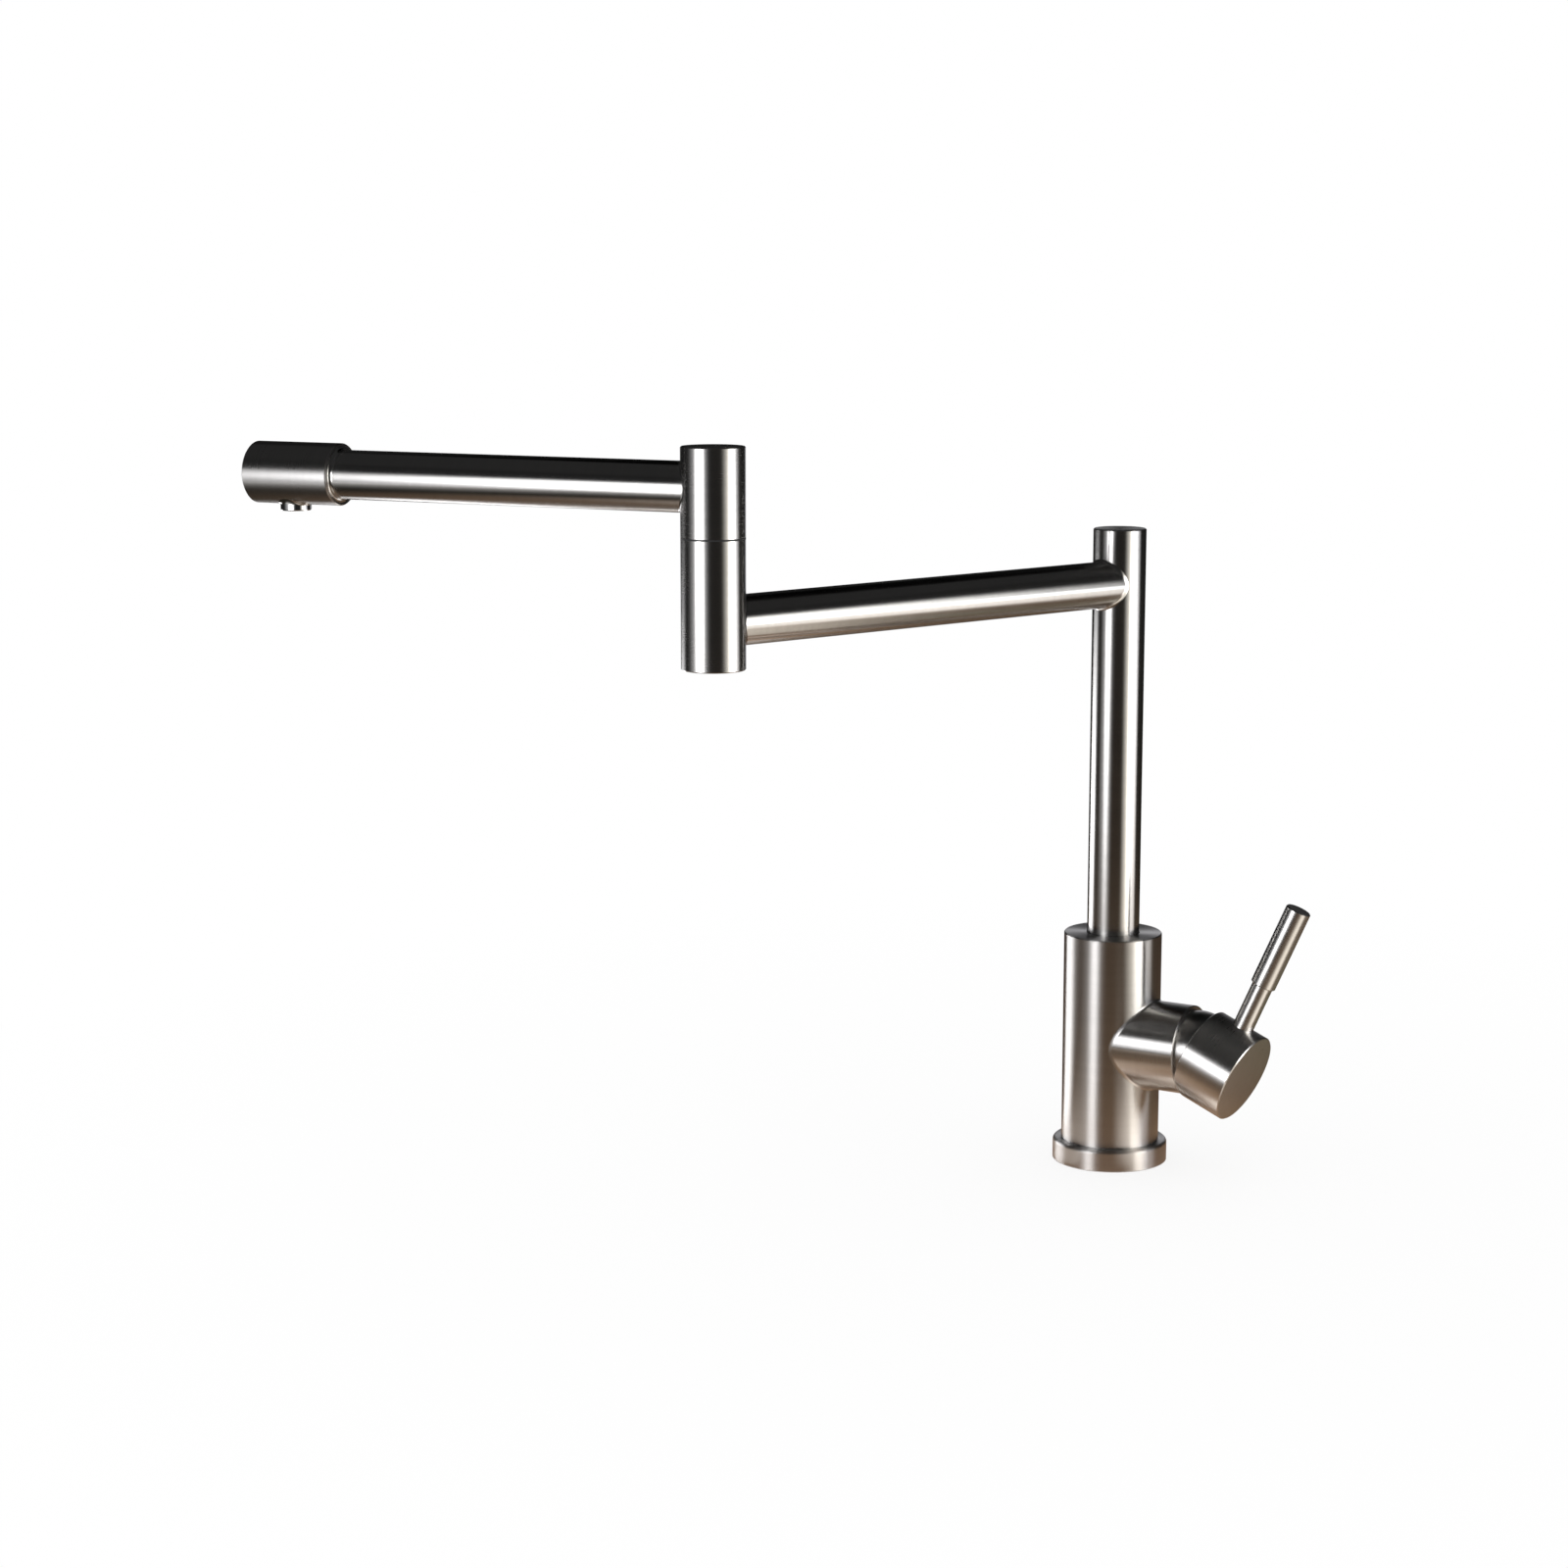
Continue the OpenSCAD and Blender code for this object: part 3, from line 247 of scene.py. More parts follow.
def grain_round(tree, centre, axis, line_width, line_length, face_across=None):
    """Places the brush lines, and the tangent that follows them."""
    grain = add_node(tree, "ShaderNodeGroup", node_tree=TURNED_GRAIN)
    grain.inputs["Centre"].default_value = centre
    grain.inputs["Axis"].default_value = axis
    grain.inputs["Line Width"].default_value = line_width
    grain.inputs["Line Length"].default_value = line_length
    place = add_node(tree, "ShaderNodeTexCoord").outputs["Object"]
    offset = add_node(tree, "ShaderNodeVectorMath", {0: place, 1: centre}, operation="SUBTRACT")
    lengthwise = add_node(tree, "ShaderNodeVectorMath", {0: axis, 1: offset.outputs["Vector"]},
                          operation="CROSS_PRODUCT").outputs["Vector"]
    if face_across:
        grain.inputs["Face Across"].default_value = face_across
        outward = add_node(tree, "ShaderNodeTexCoord").outputs["Normal"]
        facing = add_node(tree, "ShaderNodeVectorMath", {0: outward, 1: axis},
                          operation="DOT_PRODUCT")
        size = add_node(tree, "ShaderNodeMath", {0: facing.outputs["Value"]},
                        operation="ABSOLUTE").outputs[0]
        flat = add_node(tree, "ShaderNodeMath", {0: size, 1: FLAT_END}, operation="GREATER_THAN")
        way = Vector(axis).cross(Vector(face_across))
        lengthwise = choose(tree, flat.outputs[0], lengthwise, way, "VECTOR")
    tangent = add_node(tree, "ShaderNodeVectorTransform", {"Vector": lengthwise},
                       vector_type="VECTOR", convert_from="OBJECT", convert_to="WORLD")
    return grain.outputs, tangent.outputs["Vector"]


# A branch is brushed a little finer than the post that it stands on.
BRANCH_SHARE = 0.85
# Handling makes the metal this much rougher or smoother in places.
HANDLED = 0.03
# A quarter turn from the tangent draws the highlights out across the brush lines.
ACROSS_LINES = 0.25


def shade(colour, share):
    """A darker or lighter shade of a colour."""
    return tuple(min(1.0, share * c) for c in colour)


def turned_metal(name, centre=(0, 0, 0), axis=(0, 0, 1), colour=BRUSHED, rough=(0.24, 0.30),
                 drawn_out=0.75, depth=0.000004, line_width=0.0002, line_length=1.2, second=None,
                 face_across=None):
    """Metal brushed round an axis. A second axis serves a branch: (centre, axis, radius). It
    holds wherever the surface lies further than the radius from the riser's axis."""
    material, shader = new_material(name)
    tree = material.node_tree
    grain, tangent = grain_round(tree, centre, axis, line_width, line_length, face_across)
    lines, bands, smudge = grain["Lines"], grain["Bands"], grain["Smudge"]
    if second:
        branch_centre, branch_axis, radius = second
        other, other_tangent = grain_round(tree, branch_centre, branch_axis, line_width,
                                           line_length)
        place = add_node(tree, "ShaderNodeTexCoord").outputs["Object"]
        flat = add_node(tree, "ShaderNodeVectorMath", {0: place, 1: (1, 1, 0)},
                        operation="MULTIPLY")
        reach = add_node(tree, "ShaderNodeVectorMath", {0: flat.outputs["Vector"]},
                         operation="LENGTH")
        outside = add_node(tree, "ShaderNodeMath", {0: reach.outputs["Value"], 1: radius},
                           operation="GREATER_THAN").outputs[0]
        lines = choose(tree, outside, lines, other["Lines"], "FLOAT")
        bands = choose(tree, outside, bands, other["Bands"], "FLOAT")
        tangent = choose(tree, outside, tangent, other_tangent, "VECTOR")
    burnish_and_highlight = add_node(tree, "ShaderNodeGroup", node_tree=EDGE_BURNISH_AND_HIGHLIGHT).outputs["Mask"]
    # Edges are lighter: partly burnish, partly a painted highlight where they catch the light.
    dark, light, burnished_and_highlit = (shade(colour, share) for share in (0.93, 1.05, 1.15))
    plain = blend_colours(tree, bands, dark, light)
    edged = add_node(tree, "ShaderNodeMix", {"Factor": burnish_and_highlight}, data_type="RGBA")
    tree.links.new(plain, edged.inputs["A"])
    edged.inputs["B"].default_value = (*burnished_and_highlit, 1)
    tree.links.new(edged.outputs["Result"], shader.inputs["Base Color"])
    fine = spread(tree, lines, *rough)
    handled = spread(tree, smudge, -HANDLED, HANDLED)
    total = add_node(tree, "ShaderNodeMath", {0: fine, 1: handled}, operation="ADD").outputs[0]
    if second:
        finer = add_node(tree, "ShaderNodeMath", {0: total, 1: BRANCH_SHARE}, operation="MULTIPLY")
        total = choose(tree, outside, total, finer.outputs[0], "FLOAT")
    tree.links.new(total, shader.inputs["Roughness"])
    bump = add_node(tree, "ShaderNodeBump", {"Height": lines, "Distance": depth, "Strength": 1.0})
    tree.links.new(bump.outputs["Normal"], shader.inputs["Normal"])
    tree.links.new(tangent, shader.inputs["Tangent"])
    shader.inputs["Metallic"].default_value = 1.0
    shader.inputs["Anisotropic"].default_value = drawn_out
    shader.inputs["Anisotropic Rotation"].default_value = ACROSS_LINES
    return material


upright_steel = turned_metal("upright_steel", colour=SATIN, rough=(0.34, 0.40), drawn_out=1.0)
dress(upright_steel, "base_flange")


# The inlet block is turned and drilled brass, with two hose ports and the stud's hole. Three
# cap screws pull it up into the body, and an O-ring seals each waterway above it.
def turned_brass(name, **place):
    return turned_metal(name, colour=(0.72, 0.53, 0.27), rough=(0.25, 0.4), drawn_out=0.4,
                        depth=0.00001, **place)


brass = turned_brass("brass")
plain_steel = turned_metal("plain_steel", colour=(0.50, 0.50, 0.51), rough=(0.3, 0.42),
                           drawn_out=0.2)
dress(brass, "inlet_block")
dress(plain_steel, "block_screws")
dress(seal_rubber, "way_seals")


# The body is a stainless casting, turned on the outside. The valve boss stands out on its
# right side, is turned about its own axis, and runs into the body over a small ground fillet.
def ring_piece(name, rows, material, body):
    """A closed ring: each row is one closed loop of points, and the last meets the first."""
    mesh = bmesh.new()
    loops = [[mesh.verts.new(p) for p in row] for row in rows]
    count, size = len(loops), len(loops[0])
    for i in range(count):
        for j in range(size):
            k, m = (i + 1) % count, (j + 1) % size
            mesh.faces.new((loops[i][j], loops[k][j], loops[k][m], loops[i][m]))
    bmesh.ops.recalc_face_normals(mesh, faces=mesh.faces)
    for face in mesh.faces:
        face.smooth = True
    data = bpy.data.meshes.new(name)
    mesh.to_mesh(data)
    mesh.free()
    piece = bpy.data.objects.new(name, data)
    bpy.context.scene.collection.objects.link(piece)
    data.materials.append(material)
    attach(piece, body)


# Steps across a weld and round it, and how deep its edges and its heel are sunk in the metal.
FILLET_ARC = 8
FILLET_TURN = 160
SUNK = 0.00006
HEEL = 4 * SUNK


def fillet_row(corner, along, away, along_normal, away_normal, width, lift):
    """One slice of a weld fillet: an arc that leaves both surfaces along their tangents, and
    a heel that is sunk in the metal."""
    first = corner + along * width - along_normal * SUNK
    last = lift(corner + away * width) - away_normal * SUNK
    row = []
    for step in range(FILLET_ARC + 1):
        t = step / FILLET_ARC
        row.append((1 - t) ** 2 * first + 2 * t * (1 - t) * corner + t ** 2 * last)
    row.append(corner - (along_normal + away_normal) * HEEL)
    return row


def branch_fillet(name, meet, post_axis, post_radius, direction, radius, width, side_width,
                  material, body):
    """The ground weld where a tube comes square out of a post. Their axes meet at a point, and
    the weld is wider or narrower at the tube's two sides."""
    side = post_axis.cross(direction)
    rows = []
    for step in range(FILLET_TURN):
        angle = 2 * pi * step / FILLET_TURN
        across = radius * cos(angle)
        out = direction * sqrt(post_radius ** 2 - across ** 2) + side * across
        corner = meet + out + post_axis * (radius * sin(angle))
        post_normal = out / post_radius
        tube_normal = side * cos(angle) + post_axis * sin(angle)
        line = post_normal.cross(tube_normal).normalized()
        along = tube_normal.cross(line)
        along = along if along.dot(direction) > 0 else -along
        away = post_normal.cross(line)
        away = away if away.dot(tube_normal) > 0 else -away

        def on_post(point):
            rise = post_axis * (point - meet).dot(post_axis)
            return meet + rise + (point - meet - rise).normalized() * post_radius

        size = width + (side_width - width) * cos(angle) ** 2
        rows.append(fillet_row(corner, along, away, tube_normal, post_normal, size, on_post))
    ring_piece(name, rows, material, body)


UP = Vector((0, 0, 1))
joints = {joint["name"]: joint for joint in frame["joints"]}
pivot = Vector(joints["handle_tilt"]["pos_m"])
boss_axis = Vector((1, 0, 0))
boss_root = (0, 0, pivot.z)
body_low, body_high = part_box("body_casting")
body_radius = (body_high.y - body_low.y) / 2
boss_radius = 0.0227
boss_grain_start = body_radius + 0.0001
boss_weld_width = 0.0016

body_steel = turned_metal("body_steel", colour=SATIN, rough=(0.31, 0.37), drawn_out=1.0,
                          second=(boss_root, tuple(boss_axis), boss_grain_start))
dress(body_steel, "body_casting")
boss_steel = turned_metal("boss_steel", centre=boss_root, axis=tuple(boss_axis),
                          rough=(0.28, 0.34))
branch_fillet("boss_fillet", Vector(boss_root), UP, body_radius, boss_axis,
              boss_radius, boss_weld_width, boss_weld_width, boss_steel, "base")


# The riser turns in the body on a brass foot with two O-rings and two acetal bushes, over a
# thrust washer. A dog-point screw from the back runs in the foot's groove and keeps it in.
acetal = moulded("acetal", dark=(0.78, 0.77, 0.73), light=(0.86, 0.85, 0.82),
                 rough=(0.3, 0.42), depth=0.000015, cloud=0.008)
dress(brass, "riser_foot")
dress(acetal, "foot_washer", "lower_bush", "top_bush")
dress(seal_rubber, "riser_seals")
dress(plain_steel, "riser_screw")


# The riser is drawn stainless tube, closed at the top by a cap that is welded in and ground
# flush, then brushed round as one.
tube_steel = turned_metal("tube_steel", rough=(0.20, 0.25))
dress(tube_steel, "riser_tube", "riser_cap")


# The lower arm is the same kind of tube. It is welded to the riser with a polished concave
# fillet, and to the lower knuckle at its far end.
elbow = Vector(joints["elbow_swivel"]["pos_m"])
elbow_axis = Vector((elbow.x, elbow.y, 0))
lower_direction = elbow_axis.normalized()
arm_low, arm_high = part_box("lower_arm")
arm_height = (arm_low.z + arm_high.z) / 2
arm_radius = (arm_high.z - arm_low.z) / 2
arm_root = (0, 0, arm_height)
riser_low, riser_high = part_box("riser_tube")
riser_radius = (riser_high.x - riser_low.x) / 2
riser_weld_width = 0.0018

lower_arm_steel = turned_metal("lower_arm_steel", centre=arm_root, axis=tuple(lower_direction),
                               rough=(0.20, 0.25))
weld_steel = turned_metal("weld_steel", centre=arm_root, axis=tuple(lower_direction),
                          rough=(0.12, 0.18), colour=(0.66, 0.65, 0.64), drawn_out=0.0)
dress(lower_arm_steel, "lower_arm")
branch_fillet("riser_weld", Vector(arm_root), UP, riser_radius, lower_direction,
              arm_radius, riser_weld_width, riser_weld_width, weld_steel, "riser")


# The elbow is two knuckles turned from thick tube. The lower one is closed by a plug below
# and carries the brass spindle; the upper one turns on it, over an acetal washer in the seam.
knuckle_low, knuckle_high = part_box("lower_knuckle")
knuckle_radius = (knuckle_high.x - knuckle_low.x) / 2
knuckle_weld_width = 0.0012
knuckle_steel = turned_metal("knuckle_steel", centre=tuple(elbow_axis), rough=(0.235, 0.285))
elbow_brass = turned_brass("elbow_brass", centre=tuple(elbow_axis))
dress(knuckle_steel, "lower_knuckle", "knuckle_base_plug", "upper_knuckle", "knuckle_top_plug")
dress(elbow_brass, "elbow_spindle")
dress(seal_rubber, "elbow_seals")
dark_acetal = moulded("dark_acetal", dark=(0.02, 0.02, 0.022), light=(0.035, 0.035, 0.036),
                      rough=(0.35, 0.5), depth=0.000015, cloud=0.008)
dress(dark_acetal, "elbow_washer")
dress(plain_steel, "clip_washer", "elbow_clip")


LIP_ARC = 6
lip_overlap = 0.00008
lip_proud = 0.00009


def seam_ring(name, centre, radius, low, high, overlap, proud, material, body):
    """A thin moulded lip that closes the seam between two turned pieces, and covers their
    edges by a small overlap."""
    profile = []
    middle, half = (low + high) / 2, (high - low) / 2 + overlap
    for step in range(LIP_ARC + 1):
        angle = pi * (step / LIP_ARC - 0.5)
        profile.append((radius + proud * cos(angle) - SUNK, middle + half * sin(angle)))
    profile.append((radius - HEEL, middle))
    rows = []
    for step in range(FILLET_TURN):
        turn = 2 * pi * step / FILLET_TURN
        rows.append([centre + Vector((reach * cos(turn), reach * sin(turn), height))
                     for reach, height in profile])
    ring_piece(name, rows, material, body)


seam_ring("elbow_lip", elbow_axis, knuckle_radius, knuckle_high.z,
          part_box("upper_knuckle")[0].z, lip_overlap, lip_proud, dark_acetal, "riser")
branch_fillet("lower_knuckle_weld", elbow_axis + UP * arm_height, UP, knuckle_radius,
              -lower_direction, arm_radius, knuckle_weld_width, knuckle_weld_width, weld_steel,
              "riser")


# The upper arm is welded to the upper knuckle, and its end stands in the head's socket. The
# head is turned bar, closed by a pressed-in plug, with a fine weld collar round the tube.
upper_low, upper_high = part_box("upper_arm")
upper_height = (upper_low.z + upper_high.z) / 2
plug_low, plug_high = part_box("head_plug")
plug_centre = (plug_low + plug_high) / 2
upper_direction = Vector((plug_centre.x - elbow.x, plug_centre.y - elbow.y, 0)).normalized()
upper_root = (elbow.x, elbow.y, upper_height)
upper_steel = turned_metal("upper_arm_steel", centre=upper_root, axis=tuple(upper_direction),
                           rough=(0.20, 0.25))
head_steel = turned_metal("head_steel", centre=upper_root, axis=tuple(upper_direction),
                          rough=(0.26, 0.32))
dress(upper_steel, "upper_arm")
dress(head_steel, "outlet_head", "head_plug")
branch_fillet("upper_knuckle_weld", elbow_axis + UP * upper_height, UP, knuckle_radius,
              upper_direction, arm_radius, knuckle_weld_width, knuckle_weld_width, weld_steel,
              "outer_arm")

collar_width = 0.0024
head_corners = [Vector(v.co) for v in node["outlet_head"].data.vertices]
head_start = min((corner - elbow_axis).dot(upper_direction) for corner in head_corners)


def collar_fillet(name, start, direction, height, radius, width, material, body):
    """The weld between a level tube and the flat face that it comes out of."""
    side = Vector((-direction.y, direction.x, 0))
    rows = []
    for step in range(FILLET_TURN):
        angle = 2 * pi * step / FILLET_TURN
        outward = side * cos(angle) + Vector((0, 0, sin(angle)))
        corner = start + Vector((0, 0, height)) + outward * radius
        rows.append(fillet_row(corner, -direction, outward, outward, -direction, width,
                               lambda point: point))
    ring_piece(name, rows, material, body)


collar_fillet("head_weld", elbow_axis + upper_direction * head_start, upper_direction,
              upper_height, arm_radius, collar_width, weld_steel, "outer_arm")


# The aerator is a polished housing screwed into the head from below, with a ground weld round
# its neck. A rubber seal backs it, and an acetal insert with drilled jets sits inside.
outlet_low, outlet_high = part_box("aerator_housing")
outlet_centre = (outlet_low + outlet_high) / 2
outlet_radius = (outlet_high.x - outlet_low.x) / 2
head_low, head_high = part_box("outlet_head")
head_radius = (head_high.z - head_low.z) / 2
neck_weld_width = 0.0008
neck_weld_side = 0.0026
polished = turned_metal("polished_steel", colour=(0.78, 0.775, 0.77), rough=(0.05, 0.09),
                        drawn_out=0.0, depth=0.000001)
branch_fillet("outlet_weld", Vector((outlet_centre.x, outlet_centre.y, upper_height)),
              upper_direction, head_radius, -UP, outlet_radius, neck_weld_width, neck_weld_side,
              polished, "outer_arm")
dress(polished, "aerator_housing")
dress(acetal, "aerator_insert")
dress(seal_rubber, "aerator_seal")


# The valve is a 35 mm cartridge with two ceramic discs in the boss, held by a brass nut. The
# bonnet, a zone of a ball in brushed stainless, is pressed over the nut's nose.
boss_brass = turned_brass("boss_brass", centre=boss_root, axis=tuple(boss_axis))
ceramic = moulded("ceramic", dark=(0.86, 0.85, 0.82), light=(0.93, 0.92, 0.89),
                  rough=(0.08, 0.16), depth=0.000004, cloud=0.006)
dress(acetal, "cartridge_base", "cartridge_housing", "spindle_guide", "disc_slider")
dress(seal_rubber, "port_seals")
dress(ceramic, "fixed_disc", "moving_disc")
dress(boss_brass, "cartridge_nut")
dress(boss_steel, "bonnet")
dress(plain_steel, "spindle_pin", "valve_spindle")


# The handle's cap is turned stainless, brushed round, and grips the valve's spindle with a
# grub screw. The lever is finely ground: a thin rod screwed in, and a thicker grip on its end.
tilt_axis = Vector(joints["handle_tilt"]["axis"])
rest_tilt = radians(-joints["handle_tilt"]["range_deg"][0])
cap_axis = boss_axis * cos(rest_tilt) + tilt_axis.cross(boss_axis) * sin(rest_tilt)
lever_axis = cap_axis.cross(tilt_axis).normalized()
lever_axis = lever_axis if lever_axis.z > 0 else -lever_axis
cap_steel = turned_metal("cap_steel", centre=tuple(pivot), axis=tuple(cap_axis),
                         rough=(0.265, 0.315), face_across=tuple(cap_axis.cross(lever_axis)))
grip_low, grip_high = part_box("lever_grip")
lever_steel = turned_metal("lever_steel", centre=tuple((grip_low + grip_high) / 2),
                           axis=tuple(lever_axis), colour=SATIN, rough=(0.24, 0.27),
                           drawn_out=0.0, depth=0.000001)
dress(cap_steel, "handle_cap")
dress(lever_steel, "lever_rod", "lever_grip")
dress(plain_steel, "handle_grub")


# The tap stands on a pale floor in a plain white studio. Near the tap the floor keeps its
# shadow, and further out it is as white as the backdrop, so that no edge shows.
WHITE = (1.0, 1.0, 1.0)
floor_half = 6.0
floor_colour = 0.92
shadow_share = 0.18
shadow_reach = 0.7


def seen_directly(tree):
    """1 for what the camera sees, itself or in metal and glass."""
    path = add_node(tree, "ShaderNodeLightPath").outputs
    first = add_node(tree, "ShaderNodeMath",
                     {0: path["Is Camera Ray"], 1: path["Is Glossy Ray"]}, operation="MAXIMUM")
    return add_node(tree, "ShaderNodeMath",
                    {0: first.outputs[0], 1: path["Is Transmission Ray"]},
                    operation="MAXIMUM").outputs[0]


def distance(tree):
    """Distance from the piece's own origin."""
    place = add_node(tree, "ShaderNodeTexCoord").outputs["Object"]
    return add_node(tree, "ShaderNodeVectorMath", {0: place}, operation="LENGTH").outputs["Value"]


def product(tree, first, second):
    return add_node(tree, "ShaderNodeMath", {0: first, 1: second},
                    operation="MULTIPLY").outputs[0]


def stage_mesh(name, points, faces, material):
    data = bpy.data.meshes.new(name)
    data.from_pydata(points, [], faces)
    data.materials.append(material)
    piece = bpy.data.objects.new(name, data)
    bpy.context.scene.collection.objects.link(piece)
    return piece


floor_material, tree = bare_material("pale_floor")
plain_share = add_node(tree, "ShaderNodeMapRange",
                       {"Value": distance(tree), "From Max": shadow_reach,
                        "To Min": 1 - shadow_share})
share = product(tree, seen_directly(tree), plain_share.outputs["Result"])
matte = add_node(tree, "ShaderNodeBsdfDiffuse", {"Color": (floor_colour,) * 3 + (1,)})
glow = add_node(tree, "ShaderNodeEmission", {"Color": (*WHITE, 1), "Strength": 1.0})
mixed = add_node(tree, "ShaderNodeMixShader",
                 {0: share, 1: matte.outputs[0], 2: glow.outputs[0]})
add_node(tree, "ShaderNodeOutputMaterial", {"Surface": mixed.outputs[0]})
stage_mesh("floor", [(-floor_half, -floor_half, 0), (floor_half, -floor_half, 0),
                     (floor_half, floor_half, 0), (-floor_half, floor_half, 0)],
           [(0, 1, 2, 3)], floor_material)

world = bpy.data.worlds.new("studio")
bpy.context.scene.world = world
world.use_nodes = True
tree = world.node_tree
tree.nodes.clear()
background = add_node(tree, "ShaderNodeBackground", {"Color": (*WHITE, 1), "Strength": 1.0})
add_node(tree, "ShaderNodeOutputWorld", {"Surface": background.outputs[0]})


# Soft light cards stand round the tap, and only its metal sees them. Each adds its light to
# what stands behind it and fades towards its edges, so that the stripes have soft sides.
CARD_STEPS = 16
BLACK = (0.0, 0.0, 0.0)


def smooth(tree, value, start, end, at_start=0.0, at_end=1.0):
    """Goes smoothly from one value at the start to another at the end."""
    return add_node(tree, "ShaderNodeMapRange",
                    {"Value": value, "From Min": start, "From Max": end, "To Min": at_start,
                     "To Max": at_end}, interpolation_type="SMOOTHSTEP").outputs["Result"]


def build_soft_window():
    """A mask that is full between two values and fades to 0 at its ends, or to a share at
    the low one."""
    tree, given, result = new_group(
        "soft_window",
        [("Value", "Float", 0.5), ("Low End", "Float", 0.0), ("Low Full", "Float", 0.2),
         ("High Full", "Float", 0.8), ("High End", "Float", 1.0), ("Low Share", "Float", 0.0)],
        [("Mask", "Float")])
    low = smooth(tree, given["Value"], given["Low End"], given["Low Full"], given["Low Share"])
    high = smooth(tree, given["Value"], given["High End"], given["High Full"])
    tree.links.new(product(tree, low, high), result["Mask"])
    return tree


SOFT_WINDOW = build_soft_window()


def window(tree, value, ends, soft, low_share=0.0):
    """Places the soft window between two ends, with the width of the fade at each."""
    low, high = ends
    return add_node(tree, "ShaderNodeGroup",
                    {"Value": value, "Low End": low, "Low Full": low + soft[0],
                     "High Full": high - soft[1], "High End": high, "Low Share": low_share},
                    node_tree=SOFT_WINDOW).outputs["Mask"]


def own_axes(tree):
    """X, Y and Z of a place on the piece, from its own origin."""
    place = add_node(tree, "ShaderNodeTexCoord").outputs["Object"]
    return add_node(tree, "ShaderNodeSeparateXYZ", {0: place}).outputs


def sector(tree, half, soft_sides):
    """A window on the azimuth from the piece's own middle. The angles are in degrees."""
    axes = own_axes(tree)
    turn = add_node(tree, "ShaderNodeMath", {0: axes["Y"], 1: axes["X"]},
                    operation="ARCTAN2").outputs[0]
    return window(tree, turn, (-radians(half), radians(half)),
                  [radians(soft) for soft in soft_sides])


def glowing(name, light, mask):
    """A light layer: it adds its colour, as strong as its mask, to what is behind it."""
    material, tree = bare_material(name)
    shine = add_node(tree, "ShaderNodeEmission",
                     {"Color": blend_colours(tree, mask(tree), BLACK, light), "Strength": 1.0})
    clear = add_node(tree, "ShaderNodeBsdfTransparent")
    both = add_node(tree, "ShaderNodeAddShader", {0: shine.outputs[0], 1: clear.outputs[0]})
    add_node(tree, "ShaderNodeOutputMaterial", {"Surface": both.outputs[0]})
    return material


def for_metal_only(piece):
    """The camera and the other lit surfaces don't see the piece: only reflections do."""
    piece.visible_camera = False
    piece.visible_diffuse = False
    piece.visible_shadow = False


def strip(name, arc, rims, material, middle=0.0):
    """A strip that bends round the tap between two azimuths, in degrees from its middle. Each
    of its two rims is a radius and a height."""
    start, end = arc
    points = []
    for step in range(CARD_STEPS + 1):
        angle = radians(start + (end - start) * step / CARD_STEPS)
        points += [(radius * cos(angle), radius * sin(angle), height) for radius, height in rims]
    faces = [(k, k + 2, k + 3, k + 1) for k in range(0, 2 * CARD_STEPS, 2)]
    piece = stage_mesh(name, points, faces, material)
    piece.rotation_euler.z = radians(middle)
    for_metal_only(piece)
    return piece


def card(name, arc, radius, high, light, soft_sides, soft_top, foot=1.0, soft_foot=0.2):
    """A soft light card that stands between two azimuths, in degrees from +X. It fades to the
    share foot at the floor."""
    start, end = arc
    half = (end - start) / 2

    def mask(tree):
        up = own_axes(tree)["Z"]
        return product(tree, sector(tree, half, soft_sides),
                       window(tree, up, (0.0, high), (soft_foot, soft_top), low_share=foot))

    strip(name, (-half, half), ((radius, 0.0), (radius, high)), glowing(name, light, mask),
          middle=(start + end) / 2)


card("key_card", (236, 269.5), radius=1.0, high=0.59, light=(8, 8, 8.1), soft_sides=(18, 14),
     soft_top=0.31, foot=0.1, soft_foot=0.28)
card("key_halo", (214, 282), radius=1.01, high=0.56, light=(0.65, 0.65, 0.66),
     soft_sides=(32, 20), soft_top=0.26)
card("cream_card", (341, 374), radius=1.1, high=0.70, light=(4.2, 4.05, 3.8),
     soft_sides=(14, 14), soft_top=0.36)
card("cream_halo", (317, 374), radius=1.11, high=0.70, light=(1.6, 1.55, 1.42),
     soft_sides=(36, 14), soft_top=0.36)
card("cool_card", (360, 384), radius=1.1, high=0.70, light=(2.4, 2.45, 2.5),
     soft_sides=(12, 12), soft_top=0.36)
card("cool_halo", (356, 403), radius=1.11, high=0.27, light=(2.3, 2.32, 2.4),
     soft_sides=(14, 20), soft_top=0.12)
card("left_card", (158, 202), radius=0.5, high=0.15, light=(2.8, 2.8, 2.85),
     soft_sides=(10, 20), soft_top=0.05)
card("left_far_card", (157, 203), radius=1.0, high=0.16, light=(2.8, 2.8, 2.85),
     soft_sides=(10, 20), soft_top=0.05)
card("back_card", (96, 130), radius=0.9, high=0.46, light=(0.5, 0.5, 0.52),
     soft_sides=(12, 12), soft_top=0.12)


# The cards' spill is painted on the brown board in front of them, as pools of light. Each spill is
# a thin glowing layer just over the board, at its own level, and so is each haze, a painted glow
# that is only a faint tint of light.
SHEET_STEPS = 48
PATCH_CORE = 0.1


def wedge(name, arc, near, far, light, soft_sides, soft_near, soft_far, level):
    """Painted light on a sector of the board, between two azimuths and two distances."""
    start, end = arc
    half = (end - start) / 2

    def mask(tree):
        return product(tree, sector(tree, half, soft_sides),
                       window(tree, distance(tree), (near, far), (soft_near, soft_far)))

    spill = strip(name, (-half, half), ((near, 0), (far, 0)), glowing(name, light, mask),
                  middle=(start + end) / 2)
    spill.location.z = level


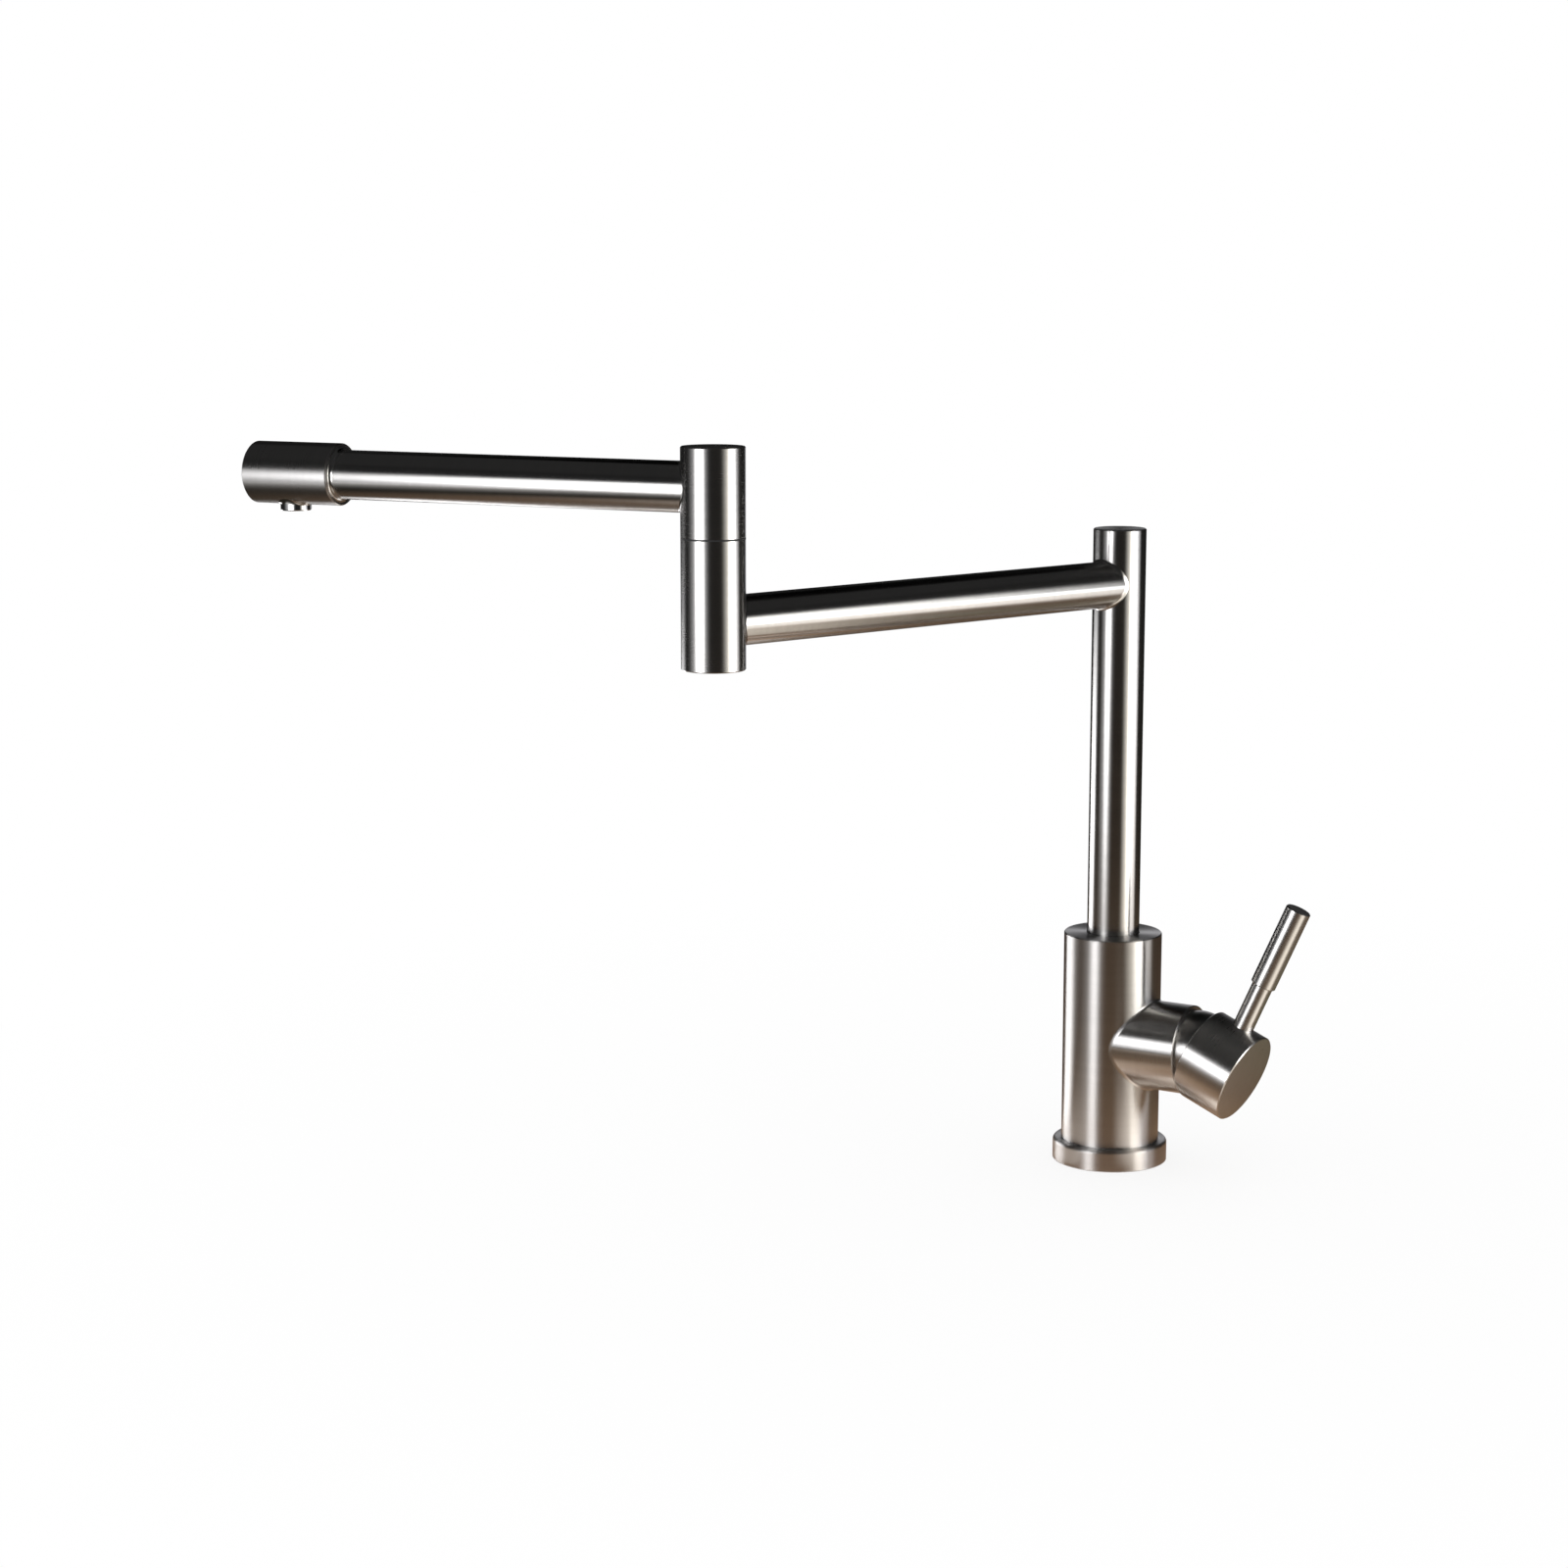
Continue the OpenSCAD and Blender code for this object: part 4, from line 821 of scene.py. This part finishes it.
def round_sheet(name, centre, radius, material):
    """A flat disc of unit radius, scaled to its size."""
    points = [(cos(2 * pi * k / SHEET_STEPS), sin(2 * pi * k / SHEET_STEPS), 0)
              for k in range(SHEET_STEPS)]
    sheet = stage_mesh(name, points, [tuple(range(SHEET_STEPS))], material)
    sheet.location = centre
    sheet.scale = (radius, radius, 1)
    for_metal_only(sheet)


def patch(name, centre, radius, light, level):
    """Painted light that lies on the board, full at its core and fading to nothing at its edge."""
    round_sheet(name, (*centre, level), radius,
                glowing(name, light, lambda tree: smooth(tree, distance(tree), 1.0, PATCH_CORE)))


wedge("key_spill", (230, 281), near=0.28, far=0.62, light=(0.34, 0.33, 0.31),
      soft_sides=(12, 14), soft_near=0.14, soft_far=0.2, level=0.0006)
wedge("key_far_spill", (218, 276), near=0.62, far=1.1, light=(0.5, 0.49, 0.48),
      soft_sides=(14, 12), soft_near=0.45, soft_far=0.02, level=0.0006)
wedge("cream_spill", (319, 372), near=0.08, far=1.1, light=(1.2, 1.13, 1.0),
      soft_sides=(32, 16), soft_near=0.06, soft_far=0.02, level=0.0008)
wedge("cool_spill", (358, 404), near=0.36, far=1.1, light=(1.7, 1.6, 1.5),
      soft_sides=(12, 15), soft_near=0.24, soft_far=0.02, level=0.0007)
wedge("left_spill", (157, 208), near=0.05, far=0.45, light=(1.3, 1.28, 1.24),
      soft_sides=(12, 26), soft_near=0.03, soft_far=0.15, level=0.0009)
wedge("foot_spill_left", (198, 262), near=0.028, far=0.12, light=(0.5, 0.5, 0.48),
      soft_sides=(14, 10), soft_near=0.006, soft_far=0.06, level=0.0012)
wedge("foot_spill_right", (298, 350), near=0.04, far=0.085, light=(1.7, 1.62, 1.5),
      soft_sides=(24, 12), soft_near=0.008, soft_far=0.03, level=0.0013)
patch("left_painted_glow", (-0.25, -0.10), radius=0.25, light=(0.05, 0.06, 0.07), level=0.0010)
patch("olive_painted_glow", (0.16, 0.13), radius=0.10, light=(0.02, 0.05, 0.03), level=0.0011)


# Dark cards close the studio behind the light cards, and a brown board lies on the floor, again
# for the metal only: they are painted reflections, dark and brown. They give the tap its dark
# stripes and its warm undersides.
RING_DARK = (0.018, 0.018, 0.018)
ROOF_DARK = (0.028, 0.028, 0.028)
ring_radius = 1.6
roof_height = 1.4
roof_radius = 1.1 * ring_radius
# The black flags stand this far inside the dark ring, and hang this far below the dark roof.
flag_gap = 0.01
flag_radius = ring_radius - flag_gap
back_flag_foot = 0.6
board_level = 0.0004
# The board's colour at each distance from the riser's axis, in metres. It is lighter near the tap,
# as painted light, and dark from 0.5 m outwards, as painted shade.
BOARD = ((0.045, (0.38, 0.25, 0.17)), (0.07, (0.36, 0.225, 0.13)), (0.12, (0.19, 0.125, 0.08)),
         (0.20, (0.13, 0.09, 0.058)), (0.50, (0.16, 0.108, 0.072)), (0.62, (0.02, 0.017, 0.013)))


def shine_alone(tree, colour):
    """The whole surface shines in its own colour, and takes no other light."""
    shine = add_node(tree, "ShaderNodeEmission", {"Color": colour, "Strength": 1.0})
    add_node(tree, "ShaderNodeOutputMaterial", {"Surface": shine.outputs[0]})


def plain_glow(name, colour):
    material, tree = bare_material(name)
    shine_alone(tree, (*colour, 1))
    return material


flag_black = plain_glow("flag", BLACK)
strip("dark_ring", (0, 360), ((ring_radius, 0.0), (ring_radius, roof_height)),
      plain_glow("dark_ring", RING_DARK))
strip("right_flag", (399, 455), ((flag_radius, 0.0), (flag_radius, roof_height)), flag_black)
strip("back_flag", (95, 170), ((flag_radius, back_flag_foot), (flag_radius, roof_height)),
      flag_black)
round_sheet("dark_roof", (0, 0, roof_height), roof_radius, plain_glow("dark_roof", ROOF_DARK))
round_sheet("roof_flag", (-0.55, 0.85, roof_height - flag_gap), radius=0.75, material=flag_black)

board_material, tree = bare_material("brown_board")
ramp = add_node(tree, "ShaderNodeValToRGB", {0: distance(tree)})
stops = ramp.color_ramp.elements
while len(stops) < len(BOARD):
    stops.new(0.5)
for stop, (away, colour) in zip(stops, BOARD):
    stop.position = away / ring_radius
    stop.color = (*colour, 1)
shine_alone(tree, ramp.outputs["Color"])
round_sheet("brown_board", (0, 0, board_level), ring_radius, board_material)


# The camera stands where the photograph was taken from, and looks down a little. Its place
# and its lens come from a fit to the tap's outlines, and its two angles are in degrees.
camera_turn = 32
camera_drop = 9.611
camera_data = bpy.data.cameras.new("camera")
camera_data.sensor_width = 36
camera_data.lens = 73.67
camera = bpy.data.objects.new("camera", camera_data)
camera.location = (0.71156, -1.45789, 0.46973)
camera.rotation_euler = (radians(90 - camera_drop), 0, radians(camera_turn))
bpy.context.scene.collection.objects.link(camera)
bpy.context.scene.camera = camera
bpy.context.scene.view_settings.view_transform = "Standard"
